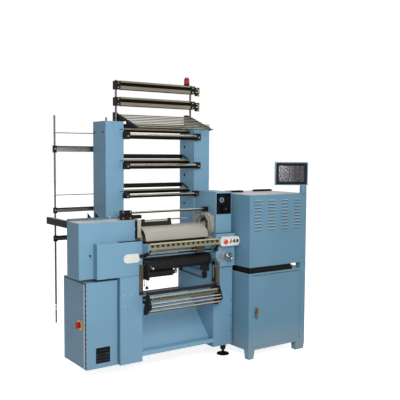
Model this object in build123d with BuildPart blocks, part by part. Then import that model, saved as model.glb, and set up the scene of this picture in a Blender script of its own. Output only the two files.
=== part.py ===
from build123d import *
import math
import os

os.makedirs("parts", exist_ok=True)

# Crochet knitting machine, millimetres, +Z up, standing on the floor at z = 0.
# +X runs to the machine's right hand end, -Y faces the operator.
# The origin is on the floor at the middle of the whole machine.

# Frame
opening_width = 700.0
leg_width = 200.0
leg_depth = 560.0
leg_bottom = 100.0
leg_top = 798.0
leg_wall = 6.0
column_width = 165.0
column_front = 308.0
column_depth = 230.0
column_top = 2020.0
column_wall = 5.0
sheet = 3.0
seat_gap = 0.2
running_gap = 0.05

# Left end: gearbox, its front cover and the electrical cabinet
gearbox_left_reach = 320.0
gearbox_right_reach = 165.0
gearbox_front = 59.0
gearbox_depth = 218.0
gearbox_top = 1230.0
gearbox_wall = 8.0
cover_left_reach = 196.0
cover_top = 1068.0
cabinet_left_reach = 274.0
cabinet_leg_gap = 8.0
cabinet_front = 32.0
cabinet_back = 451.0
cabinet_bottom = 101.0
cabinet_top = 774.0
door_thickness = 22.0
door_gap = 1.5
door_seal_gap = 21.0
hinge_clearance = 8.0
door_pin_inset = 14.0
door_pin_radius = 5.0
door_pin_length = 6.0
cabinet_plate = 8.0
vent_left = 194.0
vent_right = 74.0
vent_bottom = 139.0
vent_top = 262.0
vent_slat_pitch = 12.0
vent_slot_height = 6.0
drive_width = 150.0
drive_y_span = (120.0, 280.0)
drive_z_span = (290.0, 560.0)
drive_terminal_step = 60.0
drive_fins = 9
drive_fin_pitch = 16.0
drive_fin_gap = 8.0
drive_fin_length = 70.0
drive_fin_depth = 10.0
switch_height = 432.0
switch_y = 145.0
switch_collar_radius = 26.0
switch_collar_length = 12.0
switch_grip_length = 58.0
switch_grip_width = 14.0
switch_grip_reach = 24.0
switch_stem_radius = 6.0
switch_stem_length = 16.0

# Right end: the housings beside the needle bed
housing_inset = 17.0
housing_depth = 300.0
housing_top = 1437.0
lower_housing_front = 30.0
lower_housing_top = 1082.0
window_frame = 5.0
window_bottom = 1244.0
window_top = 1424.0
gear_module = 2.5
upper_gear_teeth = 40
lower_gear_teeth = 32
gear_thickness = 14.0
gear_back = 34.0
upper_gear_x = 91.0
upper_gear_z = 1366.0
gear_line_angle = -61.0
gear_shaft_radius = 12.0
control_box_depth = 50.0
control_box_left = 13.0
control_box_width = 199.0
control_box_bottom = 980.0
control_box_height = 78.0
estop_radius = 20.0
estop_x = 45.0
button_radius = 11.0
button_xs = {"start_button": 104.0, "jog_button": 139.0, "stop_button": 173.0}
button_travel = 4.0
estop_travel = 6.0
button_stand = 7.0
estop_stand = 22.0
handwheel_x = 120.0
handwheel_z = 882.0
handwheel_radius = 37.0
handwheel_rim = 6.0
handwheel_stand = 34.0
handwheel_rim_round = 5.4
handwheel_spoke_rise = 9.6
index_disc_x = 69.0
index_disc_z = 892.0
index_disc_radius = 38.0
index_disc_thickness = 10.0
index_disc_step = 1.5

# Electronics box, its stand and the operator panel
box_leg_gap = 18.0
box_width = 652.0
box_front = 212.0
box_back = 400.0
box_bottom = 796.0
box_top = 1414.0
box_seam = 1036.0
box_seam_width = 2.5
louvre_columns = 4
louvre_rows = 10
louvre_first = 54.0
louvre_pitch = 151.0
louvre_length = 70.0
louvre_bottom = 1112.0
louvre_row_pitch = 27.5
louvre_slot = 9.0
top_vent_width = 200.0
top_vent_depth = 46.0
top_vent_height = 16.0
top_vents = ((130.0, 190.0), (510.0, 235.0))
stand_top = 743.0
stand_bottom = 78.0
spacer_length = 500.0
spacer_inset = 6.0
spacer_slant = 24.0
side_support_width = 66.0
side_support_depth = 60.0
duct_y = 180.0
duct_width = 60.0
duct_bottom = 1150.0
stand_door_left = 29.0
stand_door_right = 66.0
stand_door_bottom = 112.0
stand_door_top = 716.0
stand_foot_depth = 62.0
stand_left_foot = 66.0
stand_right_foot = 108.0
stand_foot_taper = 12.0
stand_handle_x = 48.0
stand_handle_z = 402.0
stand_handle_length = 92.0
stand_handle_width = 20.0
panel_width = 291.0
panel_height = 207.0
panel_depth = 50.0
panel_angle = 35.0
panel_bottom = 1484.0
panel_post_offset = 108.0
panel_frame = 17.0
panel_glass = 4.0
post_radius = 31.0
post_right = 34.0
post_front = 200.0
post_cap = 10.0

# Levelling feet
foot_radius = 55.0
foot_pad_height = 22.0
foot_stem_radius = 12.0
foot_nut_size = 36.0
foot_nut_height = 14.0
foot_nut_drop = 26.0
foot_inset_x = 50.0
foot_front = 62.0
foot_back_inset = 62.0
left_foot_inset_x = 100.0
left_foot_front = 370.0

# Yarn rack over the columns
post_insets = (11.0, 34.0)
post_y = 423.0
rack_post_radius = 9.0
rack_post_rise = 346.0
guide_bar_height = 76.0
guide_bar_depth = 26.0
guide_bar_groove = 14.0
guide_groove_rise = 44.0
guide_bar_rises = (264.0, 130.0)
clamp_width = 44.0
clamp_forward = 44.0
clamp_back = 14.0
guide_bar_forward = 26.0
hook_plate_reach = 48.0
hook_plate_drop = 12.0
hook_plate_thickness = 10.0
rack_arm_thickness = 8.0
rack_rod_count = 8
rack_rod_radius = 5.0
rack_rod_first = 400.0
rack_rod_last = 92.0
rack_rod_sink = 8.0
rack_arm_crest = ((448.0, 84.0), (66.0, -53.0))
rack_arm_back = (501.0, 84.0)
rack_arm_heel = ((103.0, -64.0), (268.0, -19.0))
rack_rod_end = 22.0
beacon_x = 34.0
beacon_base_radius = 25.0
beacon_base_height = 16.0
beacon_dome_radius = 27.0
beacon_dome_height = 58.0
beacon_dome_round = 19.0

# Yarn feed rows between the columns
row_y = 268.0
row_names = ("feed_roller_top", "feed_roller_middle", "feed_roller_bottom")
row_roller_shares = (0.8494, 0.5354, 0.2253)
row_roller_radius = (23.0, 21.0, 15.0)
row_guide_y = 383.0
row_guide_rises = ((35.0, 68.0), (20.0, 58.0), (13.0, 50.0))
row_guide_depth = 16.0
row_bracket_crown = 12.0
row_bracket_width = 38.0
row_left_overlap = 11.0
row_right_overlaps = (29.0, 29.0, 16.0)
row_journal_radius = 8.0
row_plate_y = 495.0
row_plate_thickness = 6.0
row_plate_rises = ((73.0, 109.0), (63.0, 101.0), (56.0, 94.0))
row_link_height = 12.0
column_slot_drops = (200.0, 450.0, 706.0)
column_slot_y = 464.0
column_slot = (34.0, 12.0)
column_hole_drop = 90.0
column_hole_y = (354.0, 515.0)
column_hole_radius = 7.0

# Knitting head
head_plate_thickness = 32.0
head_plate_gap = 3.0
head_plate_front = 24.0
head_plate_back = 300.0
head_plate_bottom = 1090.0
head_plate_top = 1236.0
head_cover_right = 600.0
head_cover_radius = 114.0
head_cover_center_y = 58.0
head_cover_bottom = 1070.0
head_cover_back = 140.0
ring_y = 50.0
ring_z = 1164.0
ring_radius = 102.0
ring_bore = 66.0
ring_left = 612.0
ring_width = 58.0
main_shaft_y = 92.0
main_shaft_z = 1122.0
main_shaft_radius = 14.0
comb_y = 86.0
comb_thickness = 12.0
comb_bottom = 1003.0
comb_top = 1056.0
comb_inset = 12.0
comb_tooth_pitch = 46.0
comb_tooth_depth = 22.0
comb_tooth_half_width = 16.5
strut_width = 14.0
strut_drop = 53.0
needle_count = 48
needle_pitch = 12.0
needle_radius = 1.5
needle_reach = 78.0
needle_bar_front = 18.0
needle_bar_depth = 36.0
needle_bar_height = 15.0
needle_z = 1061.0
slideway_thickness = 12.0
tube_y = 132.0
tube_z = 1285.0
tube_radius = 10.0
tube_block_width = 90.0
tube_block_depth = 44.0
tube_travel = 20.0
slab_left = 40.0
slab_right = 312.0
slab_depth = 60.0
slab_height = 34.0
slab_front = 66.0
cam_first = 60.0
cam_pitch = 220.0
cam_count = 3
cam_width = 24.0
cam_throw = 8.0
cam_rise = 10.0
push_rod_y = 84.0
push_rod_radius = 5.0
push_rod_sleeve_radius = 6.5
push_rod_right = 474.0
push_rod_travel = 8.0
push_rod_z = 1222.0

# Take-down rollers below the needle bed
rail_width = 32.0
rail_thickness = 10.0
rail_bottom = 640.0
rail_top = 880.0
right_rail_top = 845.0
takedown_y = 60.0
takedown_z = 867.0
takedown_radius = 55.0
takedown_left = 16.0
takedown_right = 680.0
takedown_journal = 12.0
roller_plate_thickness = 12.0
roller_plate_front = 89.0
roller_plate_bottom = 766.0
roller_plate_top = 912.0
press_y = 66.0
press_radius = 28.5
press_left = 16.0
press_right = 322.0
press_journal = 8.0
press_nip = 0.5
cross_bar_radius = 12.0
cross_bar_y = 130.0
cross_bar_z = 830.0
bearing_flange_radius = 26.0
bearing_flange_thickness = 14.0
right_plate_y = (71.0, 193.0)
right_plate_z = (754.0, 830.0)
lever_y = 27.0
lever_z = 884.0
lever_length = 109.0
lever_drop_angle = 10.6
lever_radius = 6.0
cloth_rod_radius = 4.0
cloth_rod_places = ((44.0, 968.0), (30.0, 986.0))
upper_cloth_rod_left = 118.0
cloth_clamp_left = 485.0
cloth_clamp_width = 84.0
belt_width = 10.0
belt_thickness = 3.0
belt_front_y = 132.0
belt_front_z = 714.0
belt_front_radius = 31.0
belt_back_y = 510.0
belt_back_z = 722.0
belt_back_radius = 24.0
belt_wall_gap = 2.0

# Take-off unit in front of the legs
takeoff_plate_thickness = 10.0
takeoff_outline = ((30, 630), (-90, 653), (-136, 550), (-60, 487), (-13, 478), (-13, 526), (-28, 569),
                   (30, 565))
takeoff_rod_places = ((-112.0, 578.0), (-98.0, 517.0))
takeoff_rod_radii = (7.0, 9.0)
takeoff_roller_y = -123.0
takeoff_roller_z = 554.0
takeoff_roller_radius = 7.0
takeoff_journal_radius = 4.0
takeoff_bar_y = 44.0
takeoff_bar_thickness = 14.0
takeoff_bar_bottom = 640.0
takeoff_bar_top = 666.0
takeoff_comb_y = 78.0
takeoff_comb_bottom = 592.0
takeoff_comb_top = 630.0

# Base pan between the legs
sill_bottom = 141.0
sill_top = 172.0
sill_front = 4.0
pan_floor = 176.0
pan_foot_y = 82.0
pan_slope_y = 410.0
pan_slope_z = 531.0
pan_thickness = 4.0

# Rear yarn rack behind the left end
rear_post_x = 275.0
rear_post_gap = 49.0
rear_post_radius = 7.5
rear_post_top = 2066.0
rear_post_bottom = 508.0
rear_post_right_x = 193.0
rear_spindle_radius = 6.0
rear_spindle_bottom = 352.0
rear_neck_radius = 4.0
rear_neck_bottom = 462.0
rear_nut_size = 15.0
rear_nut_height = 9.0
rear_bar_spans = ((1770.0, 1817.0), (1272.0, 1308.0), (1040.0, 1077.0))
rear_groove_height = 10.0
rear_groove_drop = 8.0
rear_rod_z = (1925.0, 1415.0)
rear_rod_radius = 4.0
rear_beam_width = 28.0
rear_beam_height = 56.0
rear_beam_reach = 127.0
rear_rail_height = 18.0
rear_rail_depth = 22.0
gusset_width = 50.0
gusset_height = 60.0
gusset_left = 155.0
gusset_pitch = 65.0
gusset_thickness = 8.0

# The machine's reach from the bed centre line and from the legs' front faces sets the origin.
panel_turn = math.radians(panel_angle)
reach_left = opening_width / 2 + leg_width + gearbox_left_reach
reach_right = opening_width / 2 + leg_width + box_leg_gap + box_width - post_right
reach_right += (panel_width / 2 - panel_post_offset) * math.cos(panel_turn)
reach_right += panel_depth / 2 * math.sin(panel_turn)
reach_front = post_front + (panel_width / 2 - panel_post_offset) * math.sin(panel_turn)
reach_front += panel_depth / 2 * math.cos(panel_turn)
rear_beam_back = leg_depth + rear_beam_reach
reach_back = rear_beam_back
bed_x = (reach_left - reach_right) / 2
front = (reach_front - reach_back) / 2

left_in = bed_x - opening_width / 2
right_in = bed_x + opening_width / 2
left_out = left_in - leg_width
right_out = right_in + leg_width
column_y = (front + column_front, front + column_front + column_depth)
gearbox_x = (left_out - gearbox_left_reach, left_out + gearbox_right_reach)
gearbox_y = (front + gearbox_front, front + gearbox_front + gearbox_depth)
housing_x = (right_in + housing_inset, right_out - housing_inset)
lower_housing_y = (front - lower_housing_front, front + housing_depth)
box_x = (right_out + box_leg_gap, right_out + box_leg_gap + box_width)
box_y = (front - box_front, front + box_back)

TURN = {"X": (0, 90, 0), "Y": (-90, 0, 0), "Z": (0, 0, 0)}


def block(x, y, z, mode=Mode.ADD):
    """Box between two x values, two y values and two z values."""
    with Locations(((x[0] + x[1]) / 2, (y[0] + y[1]) / 2, (z[0] + z[1]) / 2)):
        Box(x[1] - x[0], y[1] - y[0], z[1] - z[0], mode=mode)


def bar(along, span, at, radius, mode=Mode.ADD):
    """Round bar along an axis over a span, with the other two coordinates in axis order."""
    middle = (span[0] + span[1]) / 2
    place = {"X": (middle, *at), "Y": (at[0], middle, at[1]), "Z": (*at, middle)}[along]
    with Locations(Location(place, TURN[along])):
        Cylinder(radius, span[1] - span[0], mode=mode)


def inner(span, wall):
    """A span drawn in by a wall at both ends."""
    return (span[0] + wall, span[1] - wall)


def keep(part, name):
    """Names a finished piece and writes its file."""
    part.label = name
    export_step(part, f"parts/{name}.step")


# Legs: welded boxes with a foot hole front and back in the bottom plate
back_foot_y = front + leg_depth - foot_back_inset
left_foot_x = left_out + left_foot_inset_x
right_foot_x = right_out - foot_inset_x
left_feet = ((left_foot_x, front + left_foot_front), (left_foot_x, back_foot_y))
right_feet = ((right_foot_x, front + foot_front), (right_foot_x, back_foot_y))
feet = left_feet + right_feet
for leg_name, leg_x, leg_feet in (
    ("left_leg", (left_out, left_in), left_feet),
    ("right_leg", (right_in, right_out), right_feet),
):
    leg_y = (front, front + leg_depth)
    with BuildPart() as leg:
        block(leg_x, leg_y, (leg_bottom, leg_top))
        fillet(leg.edges().filter_by(Axis.Z), sheet)
        block(inner(leg_x, leg_wall), inner(leg_y, leg_wall), inner((leg_bottom, leg_top), leg_wall),
              Mode.SUBTRACT)
        for foot_at in leg_feet:
            bar("Z", (leg_bottom - 1, leg_bottom + leg_wall + 1), foot_at, foot_stem_radius + seat_gap,
                Mode.SUBTRACT)
    keep(leg.part, leg_name)

# Levelling feet: pads on the floor
with BuildPart() as foot_pads:
    for foot_at in feet:
        bar("Z", (0, foot_pad_height), foot_at, foot_radius)
    chamfer(foot_pads.edges().group_by(Axis.Z)[-1], foot_pad_height / 3)
    for foot_at in feet:
        bar("Z", (foot_pad_height / 2, foot_pad_height + 1), foot_at, foot_stem_radius + running_gap,
            Mode.SUBTRACT)
keep(foot_pads.part, "foot_pads")

# Threaded stems with a lock nut against the leg and an adjusting nut below it
with BuildPart() as foot_stems:
    for foot_at in feet:
        bar("Z", (foot_pad_height / 2, leg_bottom + 3 * leg_wall), foot_at, foot_stem_radius)
        for nut_top in (leg_bottom, leg_bottom - foot_nut_height - foot_nut_drop):
            with BuildSketch(Plane.XY.offset(nut_top - foot_nut_height)):
                with Locations(foot_at):
                    RegularPolygon(foot_nut_size / 2, 6, major_radius=False)
            extrude(amount=foot_nut_height)
keep(foot_stems.part, "foot_stems")

# Base pan: front sill, floor and the sloping apron that sheds lint, bent from one sheet
with BuildPart() as base_pan:
    with BuildSketch(Plane.YZ.offset(left_in)):
        with BuildLine():
            Polyline(
                (front + sill_front, sill_bottom),
                (front + sill_front, sill_top),
                (front + sill_front + pan_thickness, sill_top),
                (front + sill_front + pan_thickness, sill_bottom + pan_thickness),
                (front + pan_foot_y - pan_thickness, sill_bottom + pan_thickness),
                (front + pan_foot_y - pan_thickness, pan_floor),
                (front + pan_slope_y, pan_slope_z),
                (front + leg_depth - pan_thickness, pan_slope_z),
                (front + leg_depth - pan_thickness, sill_bottom),
                (front + leg_depth, sill_bottom),
                (front + leg_depth, pan_slope_z + pan_thickness),
                (front + pan_slope_y - pan_thickness, pan_slope_z + pan_thickness),
                (front + pan_foot_y - 2 * pan_thickness, pan_floor + pan_thickness),
                (front + pan_foot_y - 2 * pan_thickness, sill_bottom + 2 * pan_thickness),
                (front + sill_front + 2 * pan_thickness, sill_bottom + 2 * pan_thickness),
                (front + sill_front + 2 * pan_thickness, sill_top + pan_thickness),
                (front + sill_front - pan_thickness, sill_top + pan_thickness),
                (front + sill_front - pan_thickness, sill_bottom),
                close=True,
            )
        make_face()
    extrude(amount=opening_width)
keep(base_pan.part, "base_pan")

# Columns: capped tubes on the legs, slotted on the inner face, the left one drilled on its outer face
column_hole_z = column_top - column_hole_drop
for column_name, column_x, slot_face, hole_ys in (
    ("left_column", (left_in - column_width, left_in), (left_in - column_wall - 1, left_in + 1),
     column_hole_y),
    ("right_column", (right_in, right_in + column_width), (right_in - 1, right_in + column_wall + 1), ()),
):
    with BuildPart() as column:
        block(column_x, column_y, (leg_top, column_top))
        fillet(column.edges().filter_by(Axis.Z), sheet)
        block(inner(column_x, column_wall), inner(column_y, column_wall),
              (leg_top - 1, column_top - column_wall), Mode.SUBTRACT)
        for slot_drop in column_slot_drops:
            slot_z = column_top - slot_drop
            block(slot_face,
                  (front + column_slot_y - column_slot[0] / 2, front + column_slot_y + column_slot[0] / 2),
                  (slot_z - column_slot[1] / 2, slot_z + column_slot[1] / 2), Mode.SUBTRACT)
        for hole_y in hole_ys:
            bar("X", (column_x[0] - 1, column_x[0] + column_wall + 1), (front + hole_y, column_hole_z),
                column_hole_radius, Mode.SUBTRACT)
    keep(column.part, column_name)

# Left gearbox housing, open towards the head for the main shaft
with BuildPart() as left_gearbox:
    block(gearbox_x, gearbox_y, (leg_top, gearbox_top))
    fillet(left_gearbox.edges().filter_by(Axis.Z), sheet)
    block(inner(gearbox_x, gearbox_wall), inner(gearbox_y, gearbox_wall),
          inner((leg_top, gearbox_top), gearbox_wall), Mode.SUBTRACT)
    bar("X", (gearbox_x[1] - gearbox_wall - 1, gearbox_x[1] + 1), (front + main_shaft_y, main_shaft_z),
        main_shaft_radius + running_gap, Mode.SUBTRACT)
keep(left_gearbox.part, "left_gearbox")

# Front cover of the gearbox: a sheet tray with its back edge on the gearbox face
cover_x = (left_out - cover_left_reach, left_in)
with BuildPart() as gearbox_cover:
    block(cover_x, (front, front + gearbox_front), (leg_top, cover_top))
    fillet(gearbox_cover.edges().filter_by(Axis.Z).group_by(Axis.Y)[0], sheet)
    block(inner(cover_x, sheet), (front + sheet, front + gearbox_front + 1),
          inner((leg_top, cover_top), sheet),
          Mode.SUBTRACT)
keep(gearbox_cover.part, "gearbox_cover")

# Electrical cabinet on the left leg, open to the left, with vent slots in front
cabinet_x = (left_out - cabinet_left_reach, left_out - cabinet_leg_gap)
cabinet_y = (front + cabinet_front, front + cabinet_back)
door_back = cabinet_y[1]
pin_x = cabinet_x[0] + door_thickness / 2 + door_gap
pin_y = door_back - door_pin_inset
with BuildPart() as cabinet_shell:
    block(cabinet_x, cabinet_y, (cabinet_bottom, cabinet_top))
    block((cabinet_x[0] - 1, cabinet_x[1] - sheet), inner(cabinet_y, sheet),
          inner((cabinet_bottom, cabinet_top), cabinet_plate), Mode.SUBTRACT)
    block((cabinet_x[0] - 1, cabinet_x[0] + door_thickness + hinge_clearance),
          (cabinet_y[1] - sheet - 1, cabinet_y[1] + 1), inner((cabinet_bottom, cabinet_top), cabinet_plate),
          Mode.SUBTRACT)
    vent_rows = int((vent_top - vent_bottom) / vent_slat_pitch)
    for row in range(vent_rows):
        slot_bottom = vent_bottom + vent_slat_pitch * (row + 0.5)
        block((left_out - vent_left, left_out - vent_right), (cabinet_y[0] - 1, cabinet_y[0] + sheet + 1),
              (slot_bottom, slot_bottom + vent_slot_height), Mode.SUBTRACT)
    for boss_y in inner(cabinet_y, door_seal_gap * 2):
        for boss_z in inner((cabinet_bottom, cabinet_top), door_seal_gap * 2):
            bar("X", (cabinet_x[1], left_out), (boss_y, boss_z), door_seal_gap)
    for pin_plate in ((cabinet_bottom - 1, cabinet_bottom + cabinet_plate + 1),
                      (cabinet_top - cabinet_plate - 1, cabinet_top + 1)):
        bar("Z", pin_plate, (pin_x, pin_y), door_pin_radius + running_gap, Mode.SUBTRACT)
keep(cabinet_shell.part, "cabinet_shell")

# Cabinet door: folded tray on two pivot pins
door_y = (cabinet_y[0] + sheet + door_seal_gap, door_back)
door_z = inner((cabinet_bottom, cabinet_top), cabinet_plate + door_gap)
door_x = (cabinet_x[0], cabinet_x[0] + door_thickness)
with BuildPart() as cabinet_door:
    block(door_x, door_y, door_z)
    fillet(cabinet_door.edges().filter_by(Axis.Z).group_by(Axis.X)[0], sheet)
    block((door_x[0] + sheet, door_x[1] + 1), inner(door_y, sheet), inner(door_z, sheet), Mode.SUBTRACT)
    for pin_z in ((door_z[0] - door_pin_length - door_gap, door_z[0] + sheet),
                  (door_z[1] - sheet, door_z[1] + door_pin_length + door_gap)):
        bar("Z", pin_z, (pin_x, pin_y), door_pin_radius)
    bar("X", (door_x[0] - 1, door_x[0] + sheet + 1), (front + switch_y, switch_height),
        switch_stem_radius + running_gap, Mode.SUBTRACT)
keep(cabinet_door.part, "cabinet_door")

# Main switch: round collar, grip bar and a stem through the door
with BuildPart() as switch_handle:
    block((door_x[0] - seat_gap - switch_collar_length - switch_grip_reach, door_x[0] - seat_gap - sheet),
          (front + switch_y - switch_grip_width / 2, front + switch_y + switch_grip_width / 2),
          (switch_height - switch_grip_length / 2, switch_height + switch_grip_length / 2))
    fillet(switch_handle.edges().filter_by(Axis.X), switch_grip_width / 3)
    bar("X", (door_x[0] - seat_gap - switch_collar_length, door_x[0] - seat_gap),
        (front + switch_y, switch_height), switch_collar_radius)
    bar("X", (door_x[0] - seat_gap, door_x[0] + switch_stem_length), (front + switch_y, switch_height),
        switch_stem_radius)
keep(switch_handle.part, "switch_handle")

# Drive unit on the cabinet's inner wall, a finned block with a terminal cover
drive_x = (cabinet_x[1] - sheet - drive_width, cabinet_x[1] - sheet)
drive_y = tuple(cabinet_y[0] + reach for reach in drive_y_span)
drive_z = tuple(cabinet_bottom + rise for rise in drive_z_span)
with BuildPart() as drive_unit:
    block(drive_x, drive_y, drive_z)
    block((drive_x[0] + drive_terminal_step, drive_x[1]), drive_y,
          (drive_z[0] - drive_terminal_step, drive_z[0]))
    for fin in range(drive_fins):
        fin_y = (drive_y[0] + drive_y[1]) / 2 + (fin - (drive_fins - 1) / 2) * drive_fin_pitch
        block((drive_x[1] - drive_fin_length, drive_x[1] + 1),
              (fin_y - drive_fin_gap / 2, fin_y + drive_fin_gap / 2),
              (drive_z[1] - drive_fin_depth, drive_z[1] + 1), Mode.SUBTRACT)
keep(drive_unit.part, "drive_unit")

# Upper housing at the right, with an open window for the change gears
window_x = inner(housing_x, window_frame)
upper_gear_radius = gear_module * upper_gear_teeth / 2
lower_gear_radius = gear_module * lower_gear_teeth / 2
gear_gap = upper_gear_radius + lower_gear_radius
upper_gear_at = (right_in + upper_gear_x, upper_gear_z)
lower_gear_at = (
    upper_gear_at[0] + gear_gap * math.cos(math.radians(gear_line_angle)),
    upper_gear_at[1] + gear_gap * math.sin(math.radians(gear_line_angle)),
)
with BuildPart() as upper_housing:
    block(housing_x, (front, front + housing_depth), (lower_housing_top, housing_top))
    fillet(upper_housing.edges().filter_by(Axis.Z), sheet)
    block(inner(housing_x, leg_wall), (front + gear_back + 3 * leg_wall, front + housing_depth - leg_wall),
          inner((lower_housing_top, housing_top), leg_wall), Mode.SUBTRACT)
    block(window_x, (front - 1, front + gear_back + leg_wall), (window_bottom, window_top), Mode.SUBTRACT)
    for gear_at in (upper_gear_at, lower_gear_at):
        bar("Y", (front + gear_back, front + gear_back + 3 * leg_wall + 1), gear_at,
            gear_shaft_radius + running_gap, Mode.SUBTRACT)
keep(upper_housing.part, "upper_housing")


def gear(teeth, at, phase):
    """Spur gear facing the operator, with straight flanks and backlash, on its own stub shaft."""
    pitch_radius = gear_module * teeth / 2
    points = []
    for tooth in range(teeth):
        turn = 360 * tooth / teeth + phase
        for radius, share in (
            (pitch_radius - 1.2 * gear_module, -0.30),
            (pitch_radius + 0.85 * gear_module, -0.12),
            (pitch_radius + 0.85 * gear_module, 0.12),
            (pitch_radius - 1.2 * gear_module, 0.30),
        ):
            angle = math.radians(turn + share * 360 / teeth)
            points.append((at[0] + radius * math.cos(angle), at[1] + radius * math.sin(angle)))
    with BuildPart() as wheel:
        with BuildSketch(Plane.XZ.offset(-(front + gear_back - gear_module))):
            with BuildLine():
                Polyline(*points, close=True)
            make_face()
        extrude(amount=gear_thickness)
        bar("Y", (front + gear_back - gear_thickness - 2 * gear_module, front + gear_back + 3 * leg_wall),
            at, gear_shaft_radius)
    return wheel.part


lower_phase = gear_line_angle + 180 + 180 / lower_gear_teeth
upper_phase = gear_line_angle
keep(gear(upper_gear_teeth, upper_gear_at, upper_phase), "upper_gear")
keep(gear(lower_gear_teeth, lower_gear_at, lower_phase), "lower_gear")

# Lower housing at the right, a desk ahead of the upper one
control_box_x = (right_in + control_box_left, right_in + control_box_left + control_box_width)
control_box_y = (lower_housing_y[0] - control_box_depth, lower_housing_y[0])
control_box_z = (control_box_bottom, control_box_bottom + control_box_height)
handwheel_at = (right_in + handwheel_x, handwheel_z)
index_disc_at = (right_in + index_disc_x, index_disc_z)
handwheel_shaft = gear_shaft_radius * 2 / 3
takedown_at = (front + takedown_y, takedown_z)
with BuildPart() as lower_housing:
    block((right_in, right_out), lower_housing_y, (leg_top, lower_housing_top))
    fillet(lower_housing.edges().filter_by(Axis.Z), sheet)
    bar("Y", (lower_housing_y[0] - index_disc_thickness, lower_housing_y[0]), index_disc_at,
        index_disc_radius - index_disc_step)
    bar("Y", (lower_housing_y[0] - index_disc_thickness + index_disc_step, lower_housing_y[0]),
        index_disc_at, index_disc_radius)
    block(inner((right_in, right_out), leg_wall), inner(lower_housing_y, 2 * leg_wall),
          inner((leg_top, lower_housing_top), leg_wall), Mode.SUBTRACT)
    bar("Y", (lower_housing_y[0] - 1, lower_housing_y[0] + 2 * leg_wall + 1), handwheel_at,
        handwheel_shaft + running_gap, Mode.SUBTRACT)
    bar("X", (right_in - 1, right_in + 2 * leg_wall), takedown_at, takedown_journal + running_gap,
        Mode.SUBTRACT)
keep(lower_housing.part, "lower_housing")

# Handwheel: dished rim, hub and shaft into the lower housing
wheel_front = lower_housing_y[0] - handwheel_stand
with BuildPart() as handwheel:
    with BuildSketch(Plane.XZ.offset(-(wheel_front + 2 * handwheel_rim))):
        with Locations(handwheel_at):
            Circle(handwheel_radius)
            Circle(handwheel_radius - 2 * handwheel_rim, mode=Mode.SUBTRACT)
    extrude(amount=2 * handwheel_rim)
    fillet(handwheel.edges().filter_by(GeomType.CIRCLE), handwheel_rim_round)
    for spoke in range(3):
        with BuildSketch(Plane.XZ.offset(-(wheel_front + handwheel_spoke_rise))):
            with Locations(Location(handwheel_at, 120 * spoke)):
                with Locations((handwheel_radius / 2, 0)):
                    Rectangle(handwheel_radius - handwheel_rim, handwheel_rim)
        extrude(amount=handwheel_rim)
    bar("Y", (wheel_front - handwheel_rim / 2, lower_housing_y[0] - seat_gap), handwheel_at,
        gear_shaft_radius)
    bar("Y", (lower_housing_y[0] - seat_gap, lower_housing_y[0] + 5 * leg_wall), handwheel_at,
        handwheel_shaft)
keep(handwheel.part, "handwheel")

# Control box with bores for the buttons
estop_at = (control_box_x[0] + estop_x, (control_box_z[0] + control_box_z[1]) / 2)
with BuildPart() as control_box:
    block(control_box_x, control_box_y, control_box_z)
    fillet(control_box.edges().filter_by(Axis.Y), 8 * sheet)
    block(inner(control_box_x, sheet), (control_box_y[0] + sheet, control_box_y[1] + 1),
          inner(control_box_z, sheet), Mode.SUBTRACT)
    bar("Y", (control_box_y[0] - 1, control_box_y[0] + sheet + 1), estop_at, button_radius + running_gap,
        Mode.SUBTRACT)
    for button_x in button_xs.values():
        bar("Y", (control_box_y[0] - 1, control_box_y[0] + sheet + 1),
            (control_box_x[0] + button_x, estop_at[1]), button_radius + running_gap, Mode.SUBTRACT)
keep(control_box.part, "control_box")

# Emergency stop: mushroom head on a stem through the box
estop_head_back = control_box_y[0] - estop_travel - seat_gap
button_depth = 4 * sheet
with BuildPart() as estop_button:
    bar("Y", (control_box_y[0] - estop_stand, estop_head_back), estop_at, estop_radius)
    fillet(estop_button.edges().group_by(Axis.Y)[0], button_travel)
    bar("Y", (estop_head_back, control_box_y[0] + button_depth), estop_at, button_radius)
keep(estop_button.part, "estop_button")

# Push buttons
for button_name, button_x in button_xs.items():
    with BuildPart() as button:
        bar("Y", (control_box_y[0] - button_stand, control_box_y[0] + button_depth),
            (control_box_x[0] + button_x, estop_at[1]), button_radius)
        chamfer(button.edges().group_by(Axis.Y)[0], sheet / 2)
    keep(button.part, button_name)

# Electronics box: folded shell with louvre slots in front, a seam and two vents on top
box_z = (box_bottom, box_top)
with BuildPart() as electronics_box:
    block(box_x, box_y, box_z)
    fillet(electronics_box.edges().filter_by(Axis.Z), sheet)
    block(inner(box_x, sheet), inner(box_y, sheet), inner(box_z, sheet), Mode.SUBTRACT)
    for column in range(louvre_columns):
        for row in range(louvre_rows):
            slot_x = box_x[0] + louvre_first + column * louvre_pitch
            slot_z = louvre_bottom + row * louvre_row_pitch
            block((slot_x, slot_x + louvre_length), (box_y[0] - 1, box_y[0] + sheet + 1),
                  (slot_z, slot_z + louvre_slot), Mode.SUBTRACT)
    block((box_x[0] + sheet * 2, box_x[1] - sheet * 2), (box_y[0] - 1, box_y[0] + sheet / 2),
          (box_seam - box_seam_width / 2, box_seam + box_seam_width / 2), Mode.SUBTRACT)
    for vent_x, vent_y in top_vents:
        block((box_x[0] + vent_x - top_vent_width / 2, box_x[0] + vent_x + top_vent_width / 2),
              (front + vent_y - top_vent_depth / 2, front + vent_y + top_vent_depth / 2),
              (box_top, box_top + top_vent_height))
keep(electronics_box.part, "electronics_box")

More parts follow.
